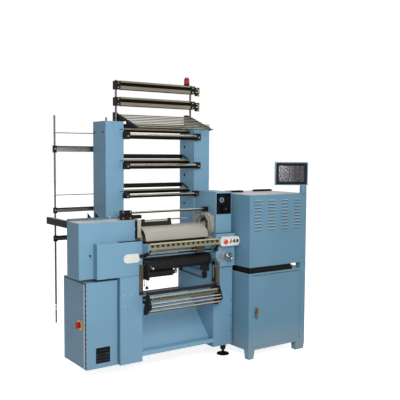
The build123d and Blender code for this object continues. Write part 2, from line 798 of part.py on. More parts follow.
# Packing under the box, its right end cut back towards the top, and the wiring duct to the upper housing
spacer_y = inner(box_y, spacer_inset)
with BuildPart() as box_spacers:
    with BuildSketch(Plane.XZ.offset(-spacer_y[1])):
        with BuildLine():
            Polyline((box_x[0] + spacer_inset, stand_top), (box_x[0] + spacer_length, stand_top),
                     (box_x[0] + spacer_length - spacer_slant, box_bottom), (box_x[0] + spacer_inset,
                                                                             box_bottom),
                     close=True)
        make_face()
    extrude(amount=spacer_y[1] - spacer_y[0])
    block((housing_x[1], box_x[0]), (front + duct_y, front + duct_y + duct_width),
          (duct_bottom, duct_bottom + duct_width))
keep(box_spacers.part, "box_spacers")

# Stand: cabinet shell with a door opening, four tapered feet and two supports under the box's right side
stand_z = (stand_bottom, stand_top)
stand_door_x = (box_x[0] + stand_door_left, box_x[1] - stand_door_right)
stand_pin = (stand_door_x[1] - door_pin_inset, box_y[0] + door_thickness / 2)
with BuildPart() as stand_body:
    block(box_x, box_y, stand_z)
    fillet(stand_body.edges().filter_by(Axis.Z), sheet)
    block(inner(box_x, sheet), inner(box_y, sheet), inner(stand_z, sheet), Mode.SUBTRACT)
    for support_y in ((box_y[0], box_y[0] + side_support_depth), (box_y[1] - side_support_depth, box_y[1])):
        block((box_x[1] - side_support_width, box_x[1]), support_y, (stand_top, box_bottom))
    block((box_x[0] + sheet, box_x[1] - sheet), (box_y[0] + sheet, box_y[0] + door_thickness + sheet),
          (stand_door_top + door_gap, stand_top))
    block((box_x[0] + sheet, box_x[1] - sheet), (box_y[0] + sheet, box_y[0] + door_thickness + sheet),
          (stand_bottom, stand_door_bottom - door_gap))
    block((stand_door_x[0] - door_gap, stand_door_x[1] + 2 * door_gap),
          (box_y[0] - 1, box_y[0] + door_thickness + sheet + 1),
          (stand_door_bottom - door_gap, stand_door_top + door_gap), Mode.SUBTRACT)
    for pin_z in ((stand_door_bottom - door_gap - door_pin_length, stand_door_bottom),
                  (stand_door_top, stand_door_top + door_gap + door_pin_length)):
        bar("Z", pin_z, stand_pin, door_pin_radius + running_gap, Mode.SUBTRACT)
    for foot_x in ((box_x[0], box_x[0] + stand_left_foot), (box_x[1] - stand_right_foot, box_x[1])):
        for foot_y in ((box_y[0], box_y[0] + stand_foot_depth), (box_y[1] - stand_foot_depth, box_y[1])):
            with BuildSketch(Plane.XY.offset(stand_bottom)):
                with Locations(((foot_x[0] + foot_x[1]) / 2, (foot_y[0] + foot_y[1]) / 2)):
                    Rectangle(foot_x[1] - foot_x[0], foot_y[1] - foot_y[0])
            with BuildSketch(Plane.XY):
                with Locations(((foot_x[0] + foot_x[1]) / 2, (foot_y[0] + foot_y[1]) / 2)):
                    Rectangle(foot_x[1] - foot_x[0] - stand_foot_taper,
                              foot_y[1] - foot_y[0] - stand_foot_taper)
            loft()
keep(stand_body.part, "stand_body")

# Stand door: folded tray on pivot pins at its right edge
stand_door_y = (box_y[0], box_y[0] + door_thickness)
stand_door_z = (stand_door_bottom, stand_door_top)
handle_at = (stand_door_x[0] + stand_handle_x, stand_handle_z)
with BuildPart() as stand_door:
    block(stand_door_x, stand_door_y, stand_door_z)
    block(inner(stand_door_x, sheet), (stand_door_y[0] + sheet, stand_door_y[1] + 1),
          inner(stand_door_z, sheet),
          Mode.SUBTRACT)
    for pin_z in ((stand_door_z[0] - door_gap - door_pin_length + 1, stand_door_z[0] + sheet),
                  (stand_door_z[1] - sheet, stand_door_z[1] + door_gap + door_pin_length - 1)):
        bar("Z", pin_z, stand_pin, door_pin_radius)
    bar("Y", (stand_door_y[0] - 1, stand_door_y[0] + sheet + 1), handle_at, switch_stem_radius + running_gap,
        Mode.SUBTRACT)
keep(stand_door.part, "stand_door")

# Door handle: a turning grip on a round boss with a stem through the door
with BuildPart() as stand_handle:
    block((handle_at[0] - stand_handle_width / 2, handle_at[0] + stand_handle_width / 2),
          (stand_door_y[0] - seat_gap - stand_handle_width,
           stand_door_y[0] - seat_gap - stand_handle_width / 3),
          (handle_at[1] - stand_handle_length / 2, handle_at[1] + stand_handle_length / 2))
    fillet(stand_handle.edges().filter_by(Axis.Y), stand_handle_width / 4)
    bar("Y", (stand_door_y[0] - seat_gap - stand_handle_width / 2, stand_door_y[0] - seat_gap), handle_at,
        stand_handle_width * 0.75)
    bar("Y", (stand_door_y[0] - seat_gap, stand_door_y[0] + switch_stem_length), handle_at,
        switch_stem_radius)
keep(stand_handle.part, "stand_handle")

# Operator panel: fixed post, then the swivelled housing and its glass
panel_post = (box_x[1] - post_right, front - post_front)
with BuildPart() as hmi_post:
    bar("Z", (box_top, panel_bottom - post_cap), panel_post, post_radius)
    bar("Z", (panel_bottom - post_cap, panel_bottom - seat_gap), panel_post, post_radius - post_cap / 2)
    bar("Z", (panel_bottom - post_cap, panel_bottom + post_cap * 2), panel_post, gear_shaft_radius)
keep(hmi_post.part, "hmi_post")

panel_right = Vector(math.cos(panel_turn), -math.sin(panel_turn), 0)
panel_center = Vector(*panel_post, panel_bottom + panel_height / 2) - panel_right * panel_post_offset
panel_plane = Plane(origin=panel_center, x_dir=panel_right,
                    z_dir=Vector(-math.sin(panel_turn), -math.cos(panel_turn), 0))
with BuildPart() as hmi_housing:
    with BuildSketch(panel_plane.offset(-panel_depth / 2)):
        Rectangle(panel_width, panel_height)
    extrude(amount=panel_depth)
    fillet(hmi_housing.edges().filter_by(Axis.Z), sheet)
    with BuildSketch(panel_plane.offset(panel_depth / 2 - panel_glass)):
        Rectangle(panel_width - panel_frame, panel_height - panel_frame)
    extrude(amount=panel_glass + 1, mode=Mode.SUBTRACT)
    with BuildSketch(panel_plane.offset(-panel_depth / 2 + sheet)):
        Rectangle(panel_width - 2 * panel_frame, panel_height - 2 * panel_frame)
    extrude(amount=panel_depth - 2 * sheet - panel_glass, mode=Mode.SUBTRACT)
    bar("Z", (panel_bottom - 1, panel_bottom + panel_frame + 1), panel_post, gear_shaft_radius + running_gap,
        Mode.SUBTRACT)
keep(hmi_housing.part, "hmi_housing")

with BuildPart() as hmi_screen:
    with BuildSketch(panel_plane.offset(panel_depth / 2 - panel_glass)):
        Rectangle(panel_width - panel_frame - 2 * seat_gap, panel_height - panel_frame - 2 * seat_gap)
    extrude(amount=panel_glass)
keep(hmi_screen.part, "hmi_screen")

# Posts of the top rack and of the rear rack
top_post_xs = (left_in - post_insets[0], right_in + post_insets[1])
top_post_y = front + post_y
guide_bar_y = top_post_y - guide_bar_forward
rear_post_y = front + leg_depth + rear_post_gap
rear_posts = ((left_out - rear_post_x, rear_post_y),
              (left_out + rear_post_right_x, rear_post_y))
rack_post_top = column_top + rack_post_rise
guide_bar_bottoms = [column_top + rise for rise in guide_bar_rises]
with BuildPart() as rack_posts:
    for post_x in top_post_xs:
        bar("Z", (column_top, rack_post_top), (post_x, top_post_y), rack_post_radius)
    for post_at in rear_posts:
        bar("Z", (rear_post_bottom, rear_post_top), post_at, rear_post_radius)
        bar("Z", (rear_neck_bottom, rear_post_bottom), post_at, rear_neck_radius)
        bar("Z", (rear_spindle_bottom, rear_neck_bottom), post_at, rear_spindle_radius)
        with BuildSketch(Plane.XY.offset((rear_neck_bottom + rear_post_bottom - rear_nut_height) / 2)):
            with Locations(post_at):
                RegularPolygon(rear_nut_size / 2, 6, major_radius=False)
        extrude(amount=rear_nut_height)
keep(rack_posts.part, "rack_posts")

# Clamp blocks on the posts, hook plates beyond the right ones, and the blocks that guide the weft tube
rear_clamp_width = 2 * rear_post_radius + 4 * sheet
rear_clamp_rise = (8.0, 4.0)
tube_at = (front + tube_y, tube_z)
tube_block_x = (gearbox_x[1] - tube_block_width, gearbox_x[1])
with BuildPart() as rod_clamps:
    for post_x in top_post_xs:
        for bottom in guide_bar_bottoms:
            block((post_x - clamp_width / 2, post_x + clamp_width / 2),
                  (top_post_y - clamp_forward, top_post_y + clamp_back),
                  inner((bottom, bottom + guide_bar_height), sheet))
        bar("Z", (column_top, rack_post_top + 1), (post_x, top_post_y), rack_post_radius + seat_gap,
            Mode.SUBTRACT)
    for bottom in guide_bar_bottoms:
        block((top_post_xs[1] + clamp_width / 2, top_post_xs[1] + clamp_width / 2 + hook_plate_reach),
              (top_post_y - clamp_forward, top_post_y - clamp_forward + hook_plate_thickness),
              (bottom - hook_plate_drop, bottom + guide_bar_height - hook_plate_drop))
    for post_x, post_rear_y in rear_posts:
        for low, high in rear_bar_spans:
            block((post_x - rear_clamp_width / 2, post_x + rear_clamp_width / 2),
                  (post_rear_y - rear_clamp_width / 2, post_rear_y + rear_clamp_width / 2),
                  (low - rear_clamp_rise[0], high + rear_clamp_rise[1]))
        bar("Z", (rear_post_bottom, rear_post_top), (post_x, post_rear_y), rear_post_radius + seat_gap,
            Mode.SUBTRACT)
    tube_y_span = (tube_at[0] - tube_block_depth / 2, tube_at[0] + tube_block_depth / 2)
    block(tube_block_x, tube_y_span, (gearbox_top, tube_z + 2 * tube_radius))
    block((tube_block_x[1] - 2 * tube_radius, tube_block_x[1] + tube_block_width), tube_y_span,
          (head_plate_top + seat_gap, tube_z - 2 * tube_radius))
    block((housing_x[0] - tube_block_depth, housing_x[0]), tube_y_span,
          (tube_z - 2 * tube_radius, tube_z + 2 * tube_radius))
    bar("X", (tube_block_x[0] - 1, housing_x[0] + 1), tube_at, tube_radius + running_gap, Mode.SUBTRACT)
keep(rod_clamps.part, "rod_clamps")

# Grooved guide bars between the clamps, and the thin rods of the rear rack
with BuildPart() as guide_bars:
    for bottom in guide_bar_bottoms:
        bar_x = (top_post_xs[0] + clamp_width / 2, top_post_xs[1] - clamp_width / 2)
        bar_y = (guide_bar_y - guide_bar_depth / 2, guide_bar_y + guide_bar_depth / 2)
        block(bar_x, bar_y, (bottom, bottom + guide_bar_height))
        block((bar_x[0] - 1, bar_x[1] + 1), (bar_y[0] - 1, bar_y[0] + guide_bar_depth / 3),
              (bottom + guide_groove_rise, bottom + guide_groove_rise + guide_bar_groove), Mode.SUBTRACT)
    for low, high in rear_bar_spans:
        rear_x = (rear_posts[0][0] + rear_clamp_width / 2, rear_posts[1][0] - rear_clamp_width / 2)
        rear_y = (rear_posts[0][1] - guide_bar_depth / 2, rear_posts[0][1] + guide_bar_depth / 2)
        block(rear_x, rear_y, (low, high))
        block((rear_x[0] - 1, rear_x[1] + 1), (rear_y[0] - 1, rear_y[0] + guide_bar_depth / 3),
              (high - rear_groove_drop - rear_groove_height, high - rear_groove_drop), Mode.SUBTRACT)
keep(guide_bars.part, "guide_bars")

# Beams that carry the rear posts, the rear rail of the gearbox and its gussets
beam_z = (gearbox_top - rear_beam_height, gearbox_top)
left_beam_x = (gearbox_x[0], gearbox_x[0] + rear_beam_width)
right_beam_x = (rear_posts[1][0] - rear_post_radius - seat_gap - rear_beam_width,
                rear_posts[1][0] - rear_post_radius - seat_gap)
with BuildPart() as rear_beams:
    block(left_beam_x, (gearbox_y[1], front + rear_beam_back), beam_z)
    block(right_beam_x, (column_y[1], front + rear_beam_back), beam_z)
    block((left_beam_x[1], rear_posts[0][0] - rear_post_radius - seat_gap),
          (rear_posts[0][1] - rear_post_radius, rear_posts[0][1] + rear_post_radius), beam_z)
    block((gearbox_x[0], left_in - column_width - seat_gap), (gearbox_y[1] - rear_rail_depth, gearbox_y[1]),
          (gearbox_top, gearbox_top + rear_rail_height))
    for gusset_x in (left_out - gusset_left, left_out - gusset_left + gusset_pitch):
        with BuildSketch(Plane.XZ.offset(-(gearbox_y[1] - rear_rail_depth))):
            with BuildLine():
                Polyline((gusset_x, gearbox_top), (gusset_x + gusset_width, gearbox_top),
                         (gusset_x, gearbox_top + gusset_height), close=True)
            make_face()
        extrude(amount=gusset_thickness)
keep(rear_beams.part, "rear_beams")

# Beacon on the upper guide bar
beacon_at = (top_post_xs[1] - clamp_width / 2 - beacon_x, guide_bar_y)
beacon_bottom = guide_bar_bottoms[0] + guide_bar_height
with BuildPart() as beacon_base:
    bar("Z", (beacon_bottom, beacon_bottom + beacon_base_height), beacon_at, beacon_base_radius)
    chamfer(beacon_base.edges().group_by(Axis.Z)[-1], sheet)
keep(beacon_base.part, "beacon_base")

with BuildPart() as beacon_dome:
    bar("Z", (beacon_bottom + beacon_base_height, beacon_bottom + beacon_base_height + beacon_dome_height),
        beacon_at, beacon_dome_radius - sheet)
    fillet(beacon_dome.edges().group_by(Axis.Z)[-1], beacon_dome_round)
keep(beacon_dome.part, "beacon_dome")

# Sloping yarn rack: an arm on each column top and rods between them
left_arm_x = (top_post_xs[0] + rack_post_radius + seat_gap,
              top_post_xs[0] + rack_post_radius + seat_gap + rack_arm_thickness)
right_arm_x = (top_post_xs[1] - rack_post_radius - seat_gap - rack_arm_thickness,
               top_post_xs[1] - rack_post_radius - seat_gap)
arm_slope = (rack_arm_crest[0][1] - rack_arm_crest[1][1]) / (rack_arm_crest[0][0] - rack_arm_crest[1][0])
rack_rod_places = []
for rod in range(rack_rod_count):
    rack_rod_y = rack_rod_first + (rack_rod_last - rack_rod_first) * rod / (rack_rod_count - 1)
    rack_rod_rise = rack_arm_crest[1][1] + (rack_rod_y - rack_arm_crest[1][0]) * arm_slope - rack_rod_sink
    rack_rod_places.append((front + rack_rod_y, column_top + rack_rod_rise))
with BuildPart() as rack_plates:
    for arm_x in (left_arm_x, right_arm_x):
        with BuildSketch(Plane.YZ.offset(arm_x[0])):
            with BuildLine():
                arm_points = (rack_arm_back, *rack_arm_crest, *rack_arm_heel,
                              (rack_arm_heel[1][0], 0), (rack_arm_back[0], 0))
                Polyline(*[(front + y, column_top + rise) for y, rise in arm_points], close=True)
            make_face()
        extrude(amount=rack_arm_thickness)
        for rod_place in rack_rod_places:
            bar("X", (arm_x[0] - 1, arm_x[1] + 1), rod_place, rack_rod_radius + running_gap, Mode.SUBTRACT)
keep(rack_plates.part, "rack_plates")

# Round rods of the sloping rack, and the thin rods between the rear posts
with BuildPart() as rack_rods:
    for rod_place in rack_rod_places:
        bar("X", (left_arm_x[0], right_arm_x[1] + rack_rod_end), rod_place, rack_rod_radius)
    for rod_z in rear_rod_z:
        bar("X", (rear_posts[0][0] - rear_clamp_width / 2, rear_posts[1][0] + rear_clamp_width / 2),
            (rear_posts[0][1] - rear_post_radius - rear_rod_radius - seat_gap, rod_z), rear_rod_radius)
keep(rack_rods.part, "rack_rods")

# Feed rows: brackets for the rollers on the column faces, rear plates, and sloping links to the guide bars
row_left_x = (left_in - row_left_overlap, left_in - row_left_overlap + row_bracket_width)
row_right_xs = [(right_in + overlap - row_bracket_width,
                 right_in + overlap) for overlap in row_right_overlaps]
row_at_y = front + row_y
row_guide_span = (front + row_guide_y - row_guide_depth / 2, front + row_guide_y + row_guide_depth / 2)
row_plate_span = (front + row_plate_y, front + row_plate_y + row_plate_thickness)
row_roller_z = [gearbox_top + share * (column_top - gearbox_top) for share in row_roller_shares]
row_guide_z = [(row_z + low, row_z + high) for row_z, (low, high) in zip(row_roller_z, row_guide_rises)]
row_plate_z = [(row_z + low, row_z + high) for row_z, (low, high) in zip(row_roller_z, row_plate_rises)]
feed_rows = list(zip(row_names, row_roller_z, row_roller_radius, row_right_xs))
with BuildPart() as row_supports:
    for row_name, row_z, row_radius, row_right_x in feed_rows:
        for bracket_x in (row_left_x, row_right_x):
            block(bracket_x, (row_at_y - row_radius, column_y[0]),
                  (row_z - row_radius - sheet, row_z + row_radius + row_bracket_crown))
            bar("X", (bracket_x[0] - 1, bracket_x[1] + 1), (row_at_y, row_z),
                row_journal_radius + running_gap,
                Mode.SUBTRACT)
    for plate_z, guide_z in zip(row_plate_z, row_guide_z):
        block((left_in, right_in), row_plate_span, plate_z)
        for link_x in (left_in, right_in - row_plate_thickness):
            with BuildSketch(Plane.YZ.offset(link_x)):
                with BuildLine():
                    Polyline((row_guide_span[1], guide_z[1]), (row_plate_span[0], plate_z[1]),
                             (row_plate_span[0], plate_z[1] - row_link_height),
                             (row_guide_span[1], guide_z[1] - row_link_height), close=True)
                make_face()
            extrude(amount=row_plate_thickness)
keep(row_supports.part, "row_supports")

# Guide bars between the columns, behind the rollers
with BuildPart() as row_guides:
    for guide_z in row_guide_z:
        block((left_in, right_in), row_guide_span, guide_z)
keep(row_guides.part, "row_guides")

# Feed rollers on journals in the brackets
for row_name, row_z, row_radius, row_right_x in feed_rows:
    with BuildPart() as feed_roller:
        bar("X", (row_left_x[1] + seat_gap, row_right_x[0] - seat_gap), (row_at_y, row_z), row_radius)
        chamfer(feed_roller.edges(), sheet / 2)
        bar("X", (row_left_x[0], row_right_x[1]), (row_at_y, row_z), row_journal_radius)
    keep(feed_roller.part, row_name)

# Knitting head: end plates bolted to the gearbox and the right housing, and the slideway between them
needle_z0 = needle_z - needle_bar_height
left_plate_x = (gearbox_x[1] + head_plate_gap, gearbox_x[1] + head_plate_gap + head_plate_thickness)
right_plate_x = (housing_x[0] - head_plate_gap - head_plate_thickness, housing_x[0] - head_plate_gap)
head_plate_y = (front + head_plate_front, front + head_plate_back)
shaft_at = (front + main_shaft_y, main_shaft_z)
with BuildPart() as head_plates:
    for plate_x in (left_plate_x, right_plate_x):
        block(plate_x, head_plate_y, (head_plate_bottom, head_plate_top))
    fillet(head_plates.edges().filter_by(Axis.X), 2 * sheet)
    for washer_x in ((gearbox_x[1], left_plate_x[0]), (right_plate_x[1], housing_x[0])):
        for washer_y in inner(head_plate_y, 3 * main_shaft_radius):
            bar("X", washer_x, (washer_y, (head_plate_bottom + head_plate_top) / 2), main_shaft_radius)
    bar("X", (left_plate_x[0] - 1, right_plate_x[1] + 1), shaft_at, main_shaft_radius + running_gap,
        Mode.SUBTRACT)
    slideway_y = (front - needle_bar_front, head_plate_y[0] + 2 * main_shaft_radius)
    slideway_z = (needle_z0 - slideway_thickness, needle_z0 - seat_gap)
    block((left_plate_x[1], right_plate_x[0]), slideway_y, slideway_z)
    for hanger_x in ((left_plate_x[1], left_plate_x[1] + 3 * sheet),
                     (right_plate_x[0] - 3 * sheet, right_plate_x[0])):
        block(hanger_x, (head_plate_y[0], slideway_y[1]),
              (slideway_z[0], head_plate_bottom + 2 * slideway_thickness))
keep(head_plates.part, "head_plates")

# Main shaft from the gearbox through the head to the right plate
with BuildPart() as main_shaft:
    bar("X", (gearbox_x[1] - gearbox_wall, right_plate_x[1]), shaft_at, main_shaft_radius)
    for cam in range(cam_count):
        cam_x = left_plate_x[1] + cam_first + cam_pitch * cam
        bar("X", (cam_x, cam_x + cam_width), (shaft_at[0], shaft_at[1] - cam_throw),
            main_shaft_radius + cam_rise)
keep(main_shaft.part, "main_shaft")

# Head cover: quarter drum open below and behind, with the guide carriage on its flat top
head_cover_x = (left_plate_x[1], left_in + head_cover_right)
cover_center = (front + head_cover_center_y, head_cover_bottom - 3 * sheet)
cover_crown = cover_center[1] + head_cover_radius
slab_x = (left_in + slab_left, left_in + slab_right)
slab_y = (front + slab_front, front + slab_front + slab_depth)
with BuildPart() as head_cover:
    for radius, span, mode in (
        (head_cover_radius, head_cover_x, Mode.ADD),
        (head_cover_radius - sheet, (head_cover_x[0] - 1, head_cover_x[1] - sheet), Mode.SUBTRACT),
    ):
        with BuildSketch(Plane.YZ.offset(span[0])):
            with BuildLine():
                quarter = CenterArc(cover_center, radius, 90, 90)
                Polyline(quarter @ 1, (cover_center[0] - radius, cover_center[1] - 1),
                         (front + head_cover_back + 1, cover_center[1] - 1),
                         (front + head_cover_back + 1, cover_center[1] + radius), quarter @ 0)
            make_face()
        extrude(amount=span[1] - span[0], mode=mode)
    block((head_cover_x[0] - 1, head_cover_x[1] + 1),
          (front - 2 * head_cover_radius, front + 2 * head_cover_back),
          (cover_center[1] - 2, head_cover_bottom), Mode.SUBTRACT)
    block((head_cover_x[0] - 1, head_cover_x[1] + 1), (front + head_cover_back, front + head_cover_back + 2),
          (cover_center[1] - 2, cover_center[1] + 2 * radius), Mode.SUBTRACT)
    bar("X", (head_cover_x[0] - 1, head_cover_x[1] + 1), shaft_at, main_shaft_radius + 2 * sheet,
        Mode.SUBTRACT)
    block(slab_x, slab_y, (cover_crown, cover_crown + slab_height))
    for ear_x in ((slab_x[0], slab_x[0] + 8 * sheet), (slab_x[1] - 8 * sheet, slab_x[1])):
        block(ear_x, (front + push_rod_y - 2 * push_rod_radius, front + push_rod_y + 2 * push_rod_radius),
              (cover_crown + slab_height, push_rod_z + 2 * push_rod_radius))
    bar("X", (slab_x[0] - 1, slab_x[1] + 1), (front + push_rod_y, push_rod_z), push_rod_radius + running_gap,
        Mode.SUBTRACT)
keep(head_cover.part, "head_cover")

# Ring housing between the cover and the right plate
ring_x = (left_in + ring_left, left_in + ring_left + ring_width)
ring_at = (front + ring_y, ring_z)
with BuildPart() as ring_housing:
    bar("X", ring_x, ring_at, ring_radius)
    chamfer(ring_housing.edges().filter_by(GeomType.CIRCLE), 2 * sheet)
    bar("X", (ring_x[0] - 1, ring_x[0] + ring_width / 3), ring_at, ring_bore, Mode.SUBTRACT)
    bar("X", (ring_x[1] - sheet, right_plate_x[0]), ring_at, ring_bore / 2)
    bar("X", (head_cover_x[1], ring_x[0] + ring_width / 2), ring_at, ring_bore / 3)
    bar("X", (head_cover_x[1] - 1, right_plate_x[0] + 1), shaft_at, main_shaft_radius + sheet, Mode.SUBTRACT)
keep(ring_housing.part, "ring_housing")

# Comb bar in front of the needles, with pointed guides along its upper edge
comb_x = (left_in + comb_inset, right_in - comb_inset)
comb_span = (front - comb_y - comb_thickness / 2, front - comb_y + comb_thickness / 2)
comb_teeth = int((comb_x[1] - comb_x[0]) / comb_tooth_pitch)
with BuildPart() as comb_bar:
    block(comb_x, comb_span, (comb_bottom, comb_top))
    for tooth in range(comb_teeth):
        notch_x = comb_x[0] + (tooth + 0.5) * (comb_x[1] - comb_x[0]) / comb_teeth
        with BuildSketch(Plane.XZ.offset(-(comb_span[0] + comb_thickness / 2))):
            with BuildLine():
                Polyline((notch_x - comb_tooth_half_width, comb_top - sheet * 2),
                         (notch_x + comb_tooth_half_width, comb_top - sheet * 2),
                         (notch_x, comb_top - sheet * 2 - comb_tooth_depth), close=True)
            make_face()
        extrude(amount=comb_thickness, mode=Mode.SUBTRACT)
keep(comb_bar.part, "comb_bar")

# Needle bar with its needles, sliding towards the comb
needle_bar_x = (left_plate_x[1] + 2 * sheet, head_cover_x[1] - 2 * sheet)
with BuildPart() as needle_bar:
    block(needle_bar_x, (front - needle_bar_front, front - needle_bar_front + needle_bar_depth),
          (needle_z0, needle_z + needle_radius * 2))
    first_needle = (needle_bar_x[0] + needle_bar_x[1] - needle_pitch * (needle_count - 1)) / 2
    for needle in range(needle_count):
        bar("Y", (front - needle_reach, front - needle_bar_front + 1),
            (first_needle + needle * needle_pitch, needle_z), needle_radius)
keep(needle_bar.part, "needle_bar")

# Weft tube over the bed
with BuildPart() as weft_tube:
    bar("X", (tube_block_x[0], housing_x[0] - tube_travel - sheet), tube_at, tube_radius)
keep(weft_tube.part, "weft_tube")

# Push rod in the carriage's ears
with BuildPart() as push_rod:
    bar("X", (slab_x[0] + push_rod_travel, left_in + push_rod_right), (front + push_rod_y, push_rod_z),
        push_rod_radius)
    bar("X", (slab_x[1] + 2 * push_rod_travel, left_in + push_rod_right - 2 * push_rod_travel),
        (front + push_rod_y, push_rod_z), push_rod_sleeve_radius)
keep(push_rod.part, "push_rod")

# Rails on the legs and the struts that hold the comb bar
strut_foot = comb_bottom - strut_drop
left_rail_x = (left_in - rail_width, left_in)
right_rail_x = (right_in, right_in + rail_width)
left_rail_y = (front - rail_thickness, front)
right_rail_y = (lower_housing_y[0] - rail_thickness, lower_housing_y[0])
strut_spans = ((comb_x[0], comb_x[0] + strut_width), (comb_x[1] - strut_width, comb_x[1]))
strut_pads = ((left_rail_x[0], strut_spans[0][1]), (strut_spans[1][0], right_in + strut_width))
left_end_x = (left_in, left_in + takeoff_plate_thickness)
right_end_x = (right_in - takeoff_plate_thickness, right_in)
between_ends = (left_end_x[1], right_end_x[0])
takeoff_roller_at = (front + takeoff_roller_y, takeoff_roller_z)
with BuildPart() as side_rails:
    block(left_rail_x, left_rail_y, (rail_bottom, rail_top))
    block(right_rail_x, right_rail_y, (rail_bottom, right_rail_top))
    block(right_rail_x, (right_rail_y[1], front), (rail_bottom, leg_top))
    for strut_x, pad_x, foot_y in zip(strut_spans, strut_pads, (left_rail_y, right_rail_y)):
        with BuildSketch(Plane.YZ.offset(strut_x[0])):
            with BuildLine():
                Polyline(
                    (comb_span[0], comb_bottom),
                    (comb_span[0], comb_bottom - strut_width),
                    (foot_y[0], strut_foot - strut_width),
                    (foot_y[1], strut_foot - strut_width),
                    (foot_y[1], strut_foot + strut_width),
                    (foot_y[0], strut_foot + strut_width),
                    (comb_span[1], comb_bottom),
                    close=True,
                )
            make_face()
        extrude(amount=strut_width)
        block(pad_x, foot_y, (strut_foot - strut_width, strut_foot + strut_width))
keep(side_rails.part, "side_rails")

# End plates of the take-off unit, and the left plate, cross bar, press roller hanger, bearing flange and
# right plate of the take-down rollers
press_drop = math.sqrt((takedown_radius + press_radius + press_nip) ** 2 - (press_y - takedown_y) ** 2)
press_at = (front + press_y, takedown_z - press_drop)
cross_at = (front + cross_bar_y, cross_bar_z)
left_roller_plate = (left_in, left_in + roller_plate_thickness)
press_hanger_x = (left_in + press_right + seat_gap,
                  left_in + press_right + seat_gap + roller_plate_thickness)
hanger_angle = math.degrees(math.atan2(cross_at[1] - press_at[1], cross_at[0] - press_at[0]))
hanger_middle = ((press_at[0] + cross_at[0]) / 2, (press_at[1] + cross_at[1]) / 2)
with BuildPart() as roller_brackets:
    for end_x in (left_end_x, right_end_x):
        with BuildSketch(Plane.YZ.offset(end_x[0])):
            with BuildLine():
                Polyline(*[(front + y, z) for y, z in takeoff_outline], close=True)
            make_face()
        extrude(amount=takeoff_plate_thickness)
        for (rod_y, rod_z), rod_radius in zip(takeoff_rod_places, takeoff_rod_radii):
            bar("X", (end_x[0] - 1, end_x[1] + 1), (front + rod_y, rod_z), rod_radius + running_gap,
                Mode.SUBTRACT)
        bar("X", (end_x[0] - 1, end_x[1] + 1), takeoff_roller_at, takeoff_journal_radius + running_gap,
            Mode.SUBTRACT)
    block(left_roller_plate, (front - roller_plate_front, cross_at[0] + 2 * cross_bar_radius),
          (roller_plate_bottom, roller_plate_top))
    bar("X", (left_roller_plate[1], right_in), cross_at, cross_bar_radius)
    with BuildSketch(Plane.YZ.offset(press_hanger_x[0])):
        with Locations(Location(hanger_middle, hanger_angle)):
            SlotCenterToCenter(math.dist(press_at, cross_at), 2 * cross_bar_radius)
    extrude(amount=roller_plate_thickness)
    block((right_in - roller_plate_thickness, right_in),
          (front + right_plate_y[0], front + right_plate_y[1]),
          right_plate_z)
    bar("X", (right_in - bearing_flange_thickness, right_in), takedown_at, bearing_flange_radius)
    bar("X", (left_roller_plate[0] - 1, right_in + 1), takedown_at, takedown_journal + running_gap,
        Mode.SUBTRACT)
    bar("X", (left_roller_plate[0] - 1, press_hanger_x[1] + 1), press_at, press_journal + running_gap,
        Mode.SUBTRACT)
    bar("X", (left_roller_plate[0] - 1, left_roller_plate[1] + 1), (front - lever_y, lever_z),
        lever_radius + running_gap, Mode.SUBTRACT)
keep(roller_brackets.part, "roller_brackets")

# Take-down roller, rubber covered
with BuildPart() as takedown_roller:
    bar("X", (left_in + takedown_left, left_in + takedown_right), takedown_at, takedown_radius)
    chamfer(takedown_roller.edges(), sheet)
    bar("X", (left_roller_plate[0], right_in + leg_wall), takedown_at, takedown_journal)
keep(takedown_roller.part, "takedown_roller")

with BuildPart() as press_roller:
    bar("X", (left_in + press_left, left_in + press_right), press_at, press_radius)
    chamfer(press_roller.edges(), sheet)
    bar("X", (left_roller_plate[0], press_hanger_x[1]), press_at, press_journal)
keep(press_roller.part, "press_roller")

# Tension lever on the left plate
lever_tip = (
    front - lever_y - lever_length * math.cos(math.radians(lever_drop_angle)),
    lever_z - lever_length * math.sin(math.radians(lever_drop_angle)),
)
lever_x = left_roller_plate[1] + seat_gap
with BuildPart() as tension_lever:
    bar("X", (left_roller_plate[0], lever_x), (front - lever_y, lever_z), lever_radius)
    bar("X", (lever_x, lever_x + 2 * lever_radius), (front - lever_y, lever_z), 2 * lever_radius)
    with BuildSketch(Plane.YZ.offset(lever_x)):
        with Locations(Location(((front - lever_y + lever_tip[0]) / 2, (lever_z + lever_tip[1]) / 2),
                                180 + lever_drop_angle)):
            SlotCenterToCenter(lever_length, 2 * lever_radius)
    extrude(amount=2 * lever_radius)
    with Locations((lever_x + lever_radius, *lever_tip)):
        Sphere(1.5 * lever_radius)
keep(tension_lever.part, "tension_lever")

# Belt drive inside the right leg: two pulleys on studs and the belt round them
belt_x = (right_in - belt_wall_gap - belt_width, right_in - belt_wall_gap)
pulleys = (
    (front + belt_front_y, belt_front_z, belt_front_radius),
    (front + belt_back_y, belt_back_z, belt_back_radius),
)
belt_run = math.hypot(pulleys[1][0] - pulleys[0][0], pulleys[1][1] - pulleys[0][1])
belt_tilt = math.atan2(pulleys[1][1] - pulleys[0][1], pulleys[1][0] - pulleys[0][0])
belt_lean = math.asin((pulleys[0][2] - pulleys[1][2]) / belt_run)


def tangent_point(pulley, side, extra):
    """Point where the belt leaves a pulley, above it for side 1 and below it for side -1."""
    angle = belt_tilt + side * (math.pi / 2 - belt_lean)
    reach = pulley[2] + extra
    return (pulley[0] + reach * math.cos(angle), pulley[1] + reach * math.sin(angle))


def belt_face(extra):
    """Outline round both pulleys at a distance from their rims, in the current sketch."""
    with Locations((pulleys[0][0], pulleys[0][1])):
        Circle(pulleys[0][2] + extra)
    with Locations((pulleys[1][0], pulleys[1][1])):
        Circle(pulleys[1][2] + extra)
    Polygon(tangent_point(pulleys[0], 1, extra), tangent_point(pulleys[1], 1, extra),
            tangent_point(pulleys[1], -1, extra), tangent_point(pulleys[0], -1, extra), align=None)


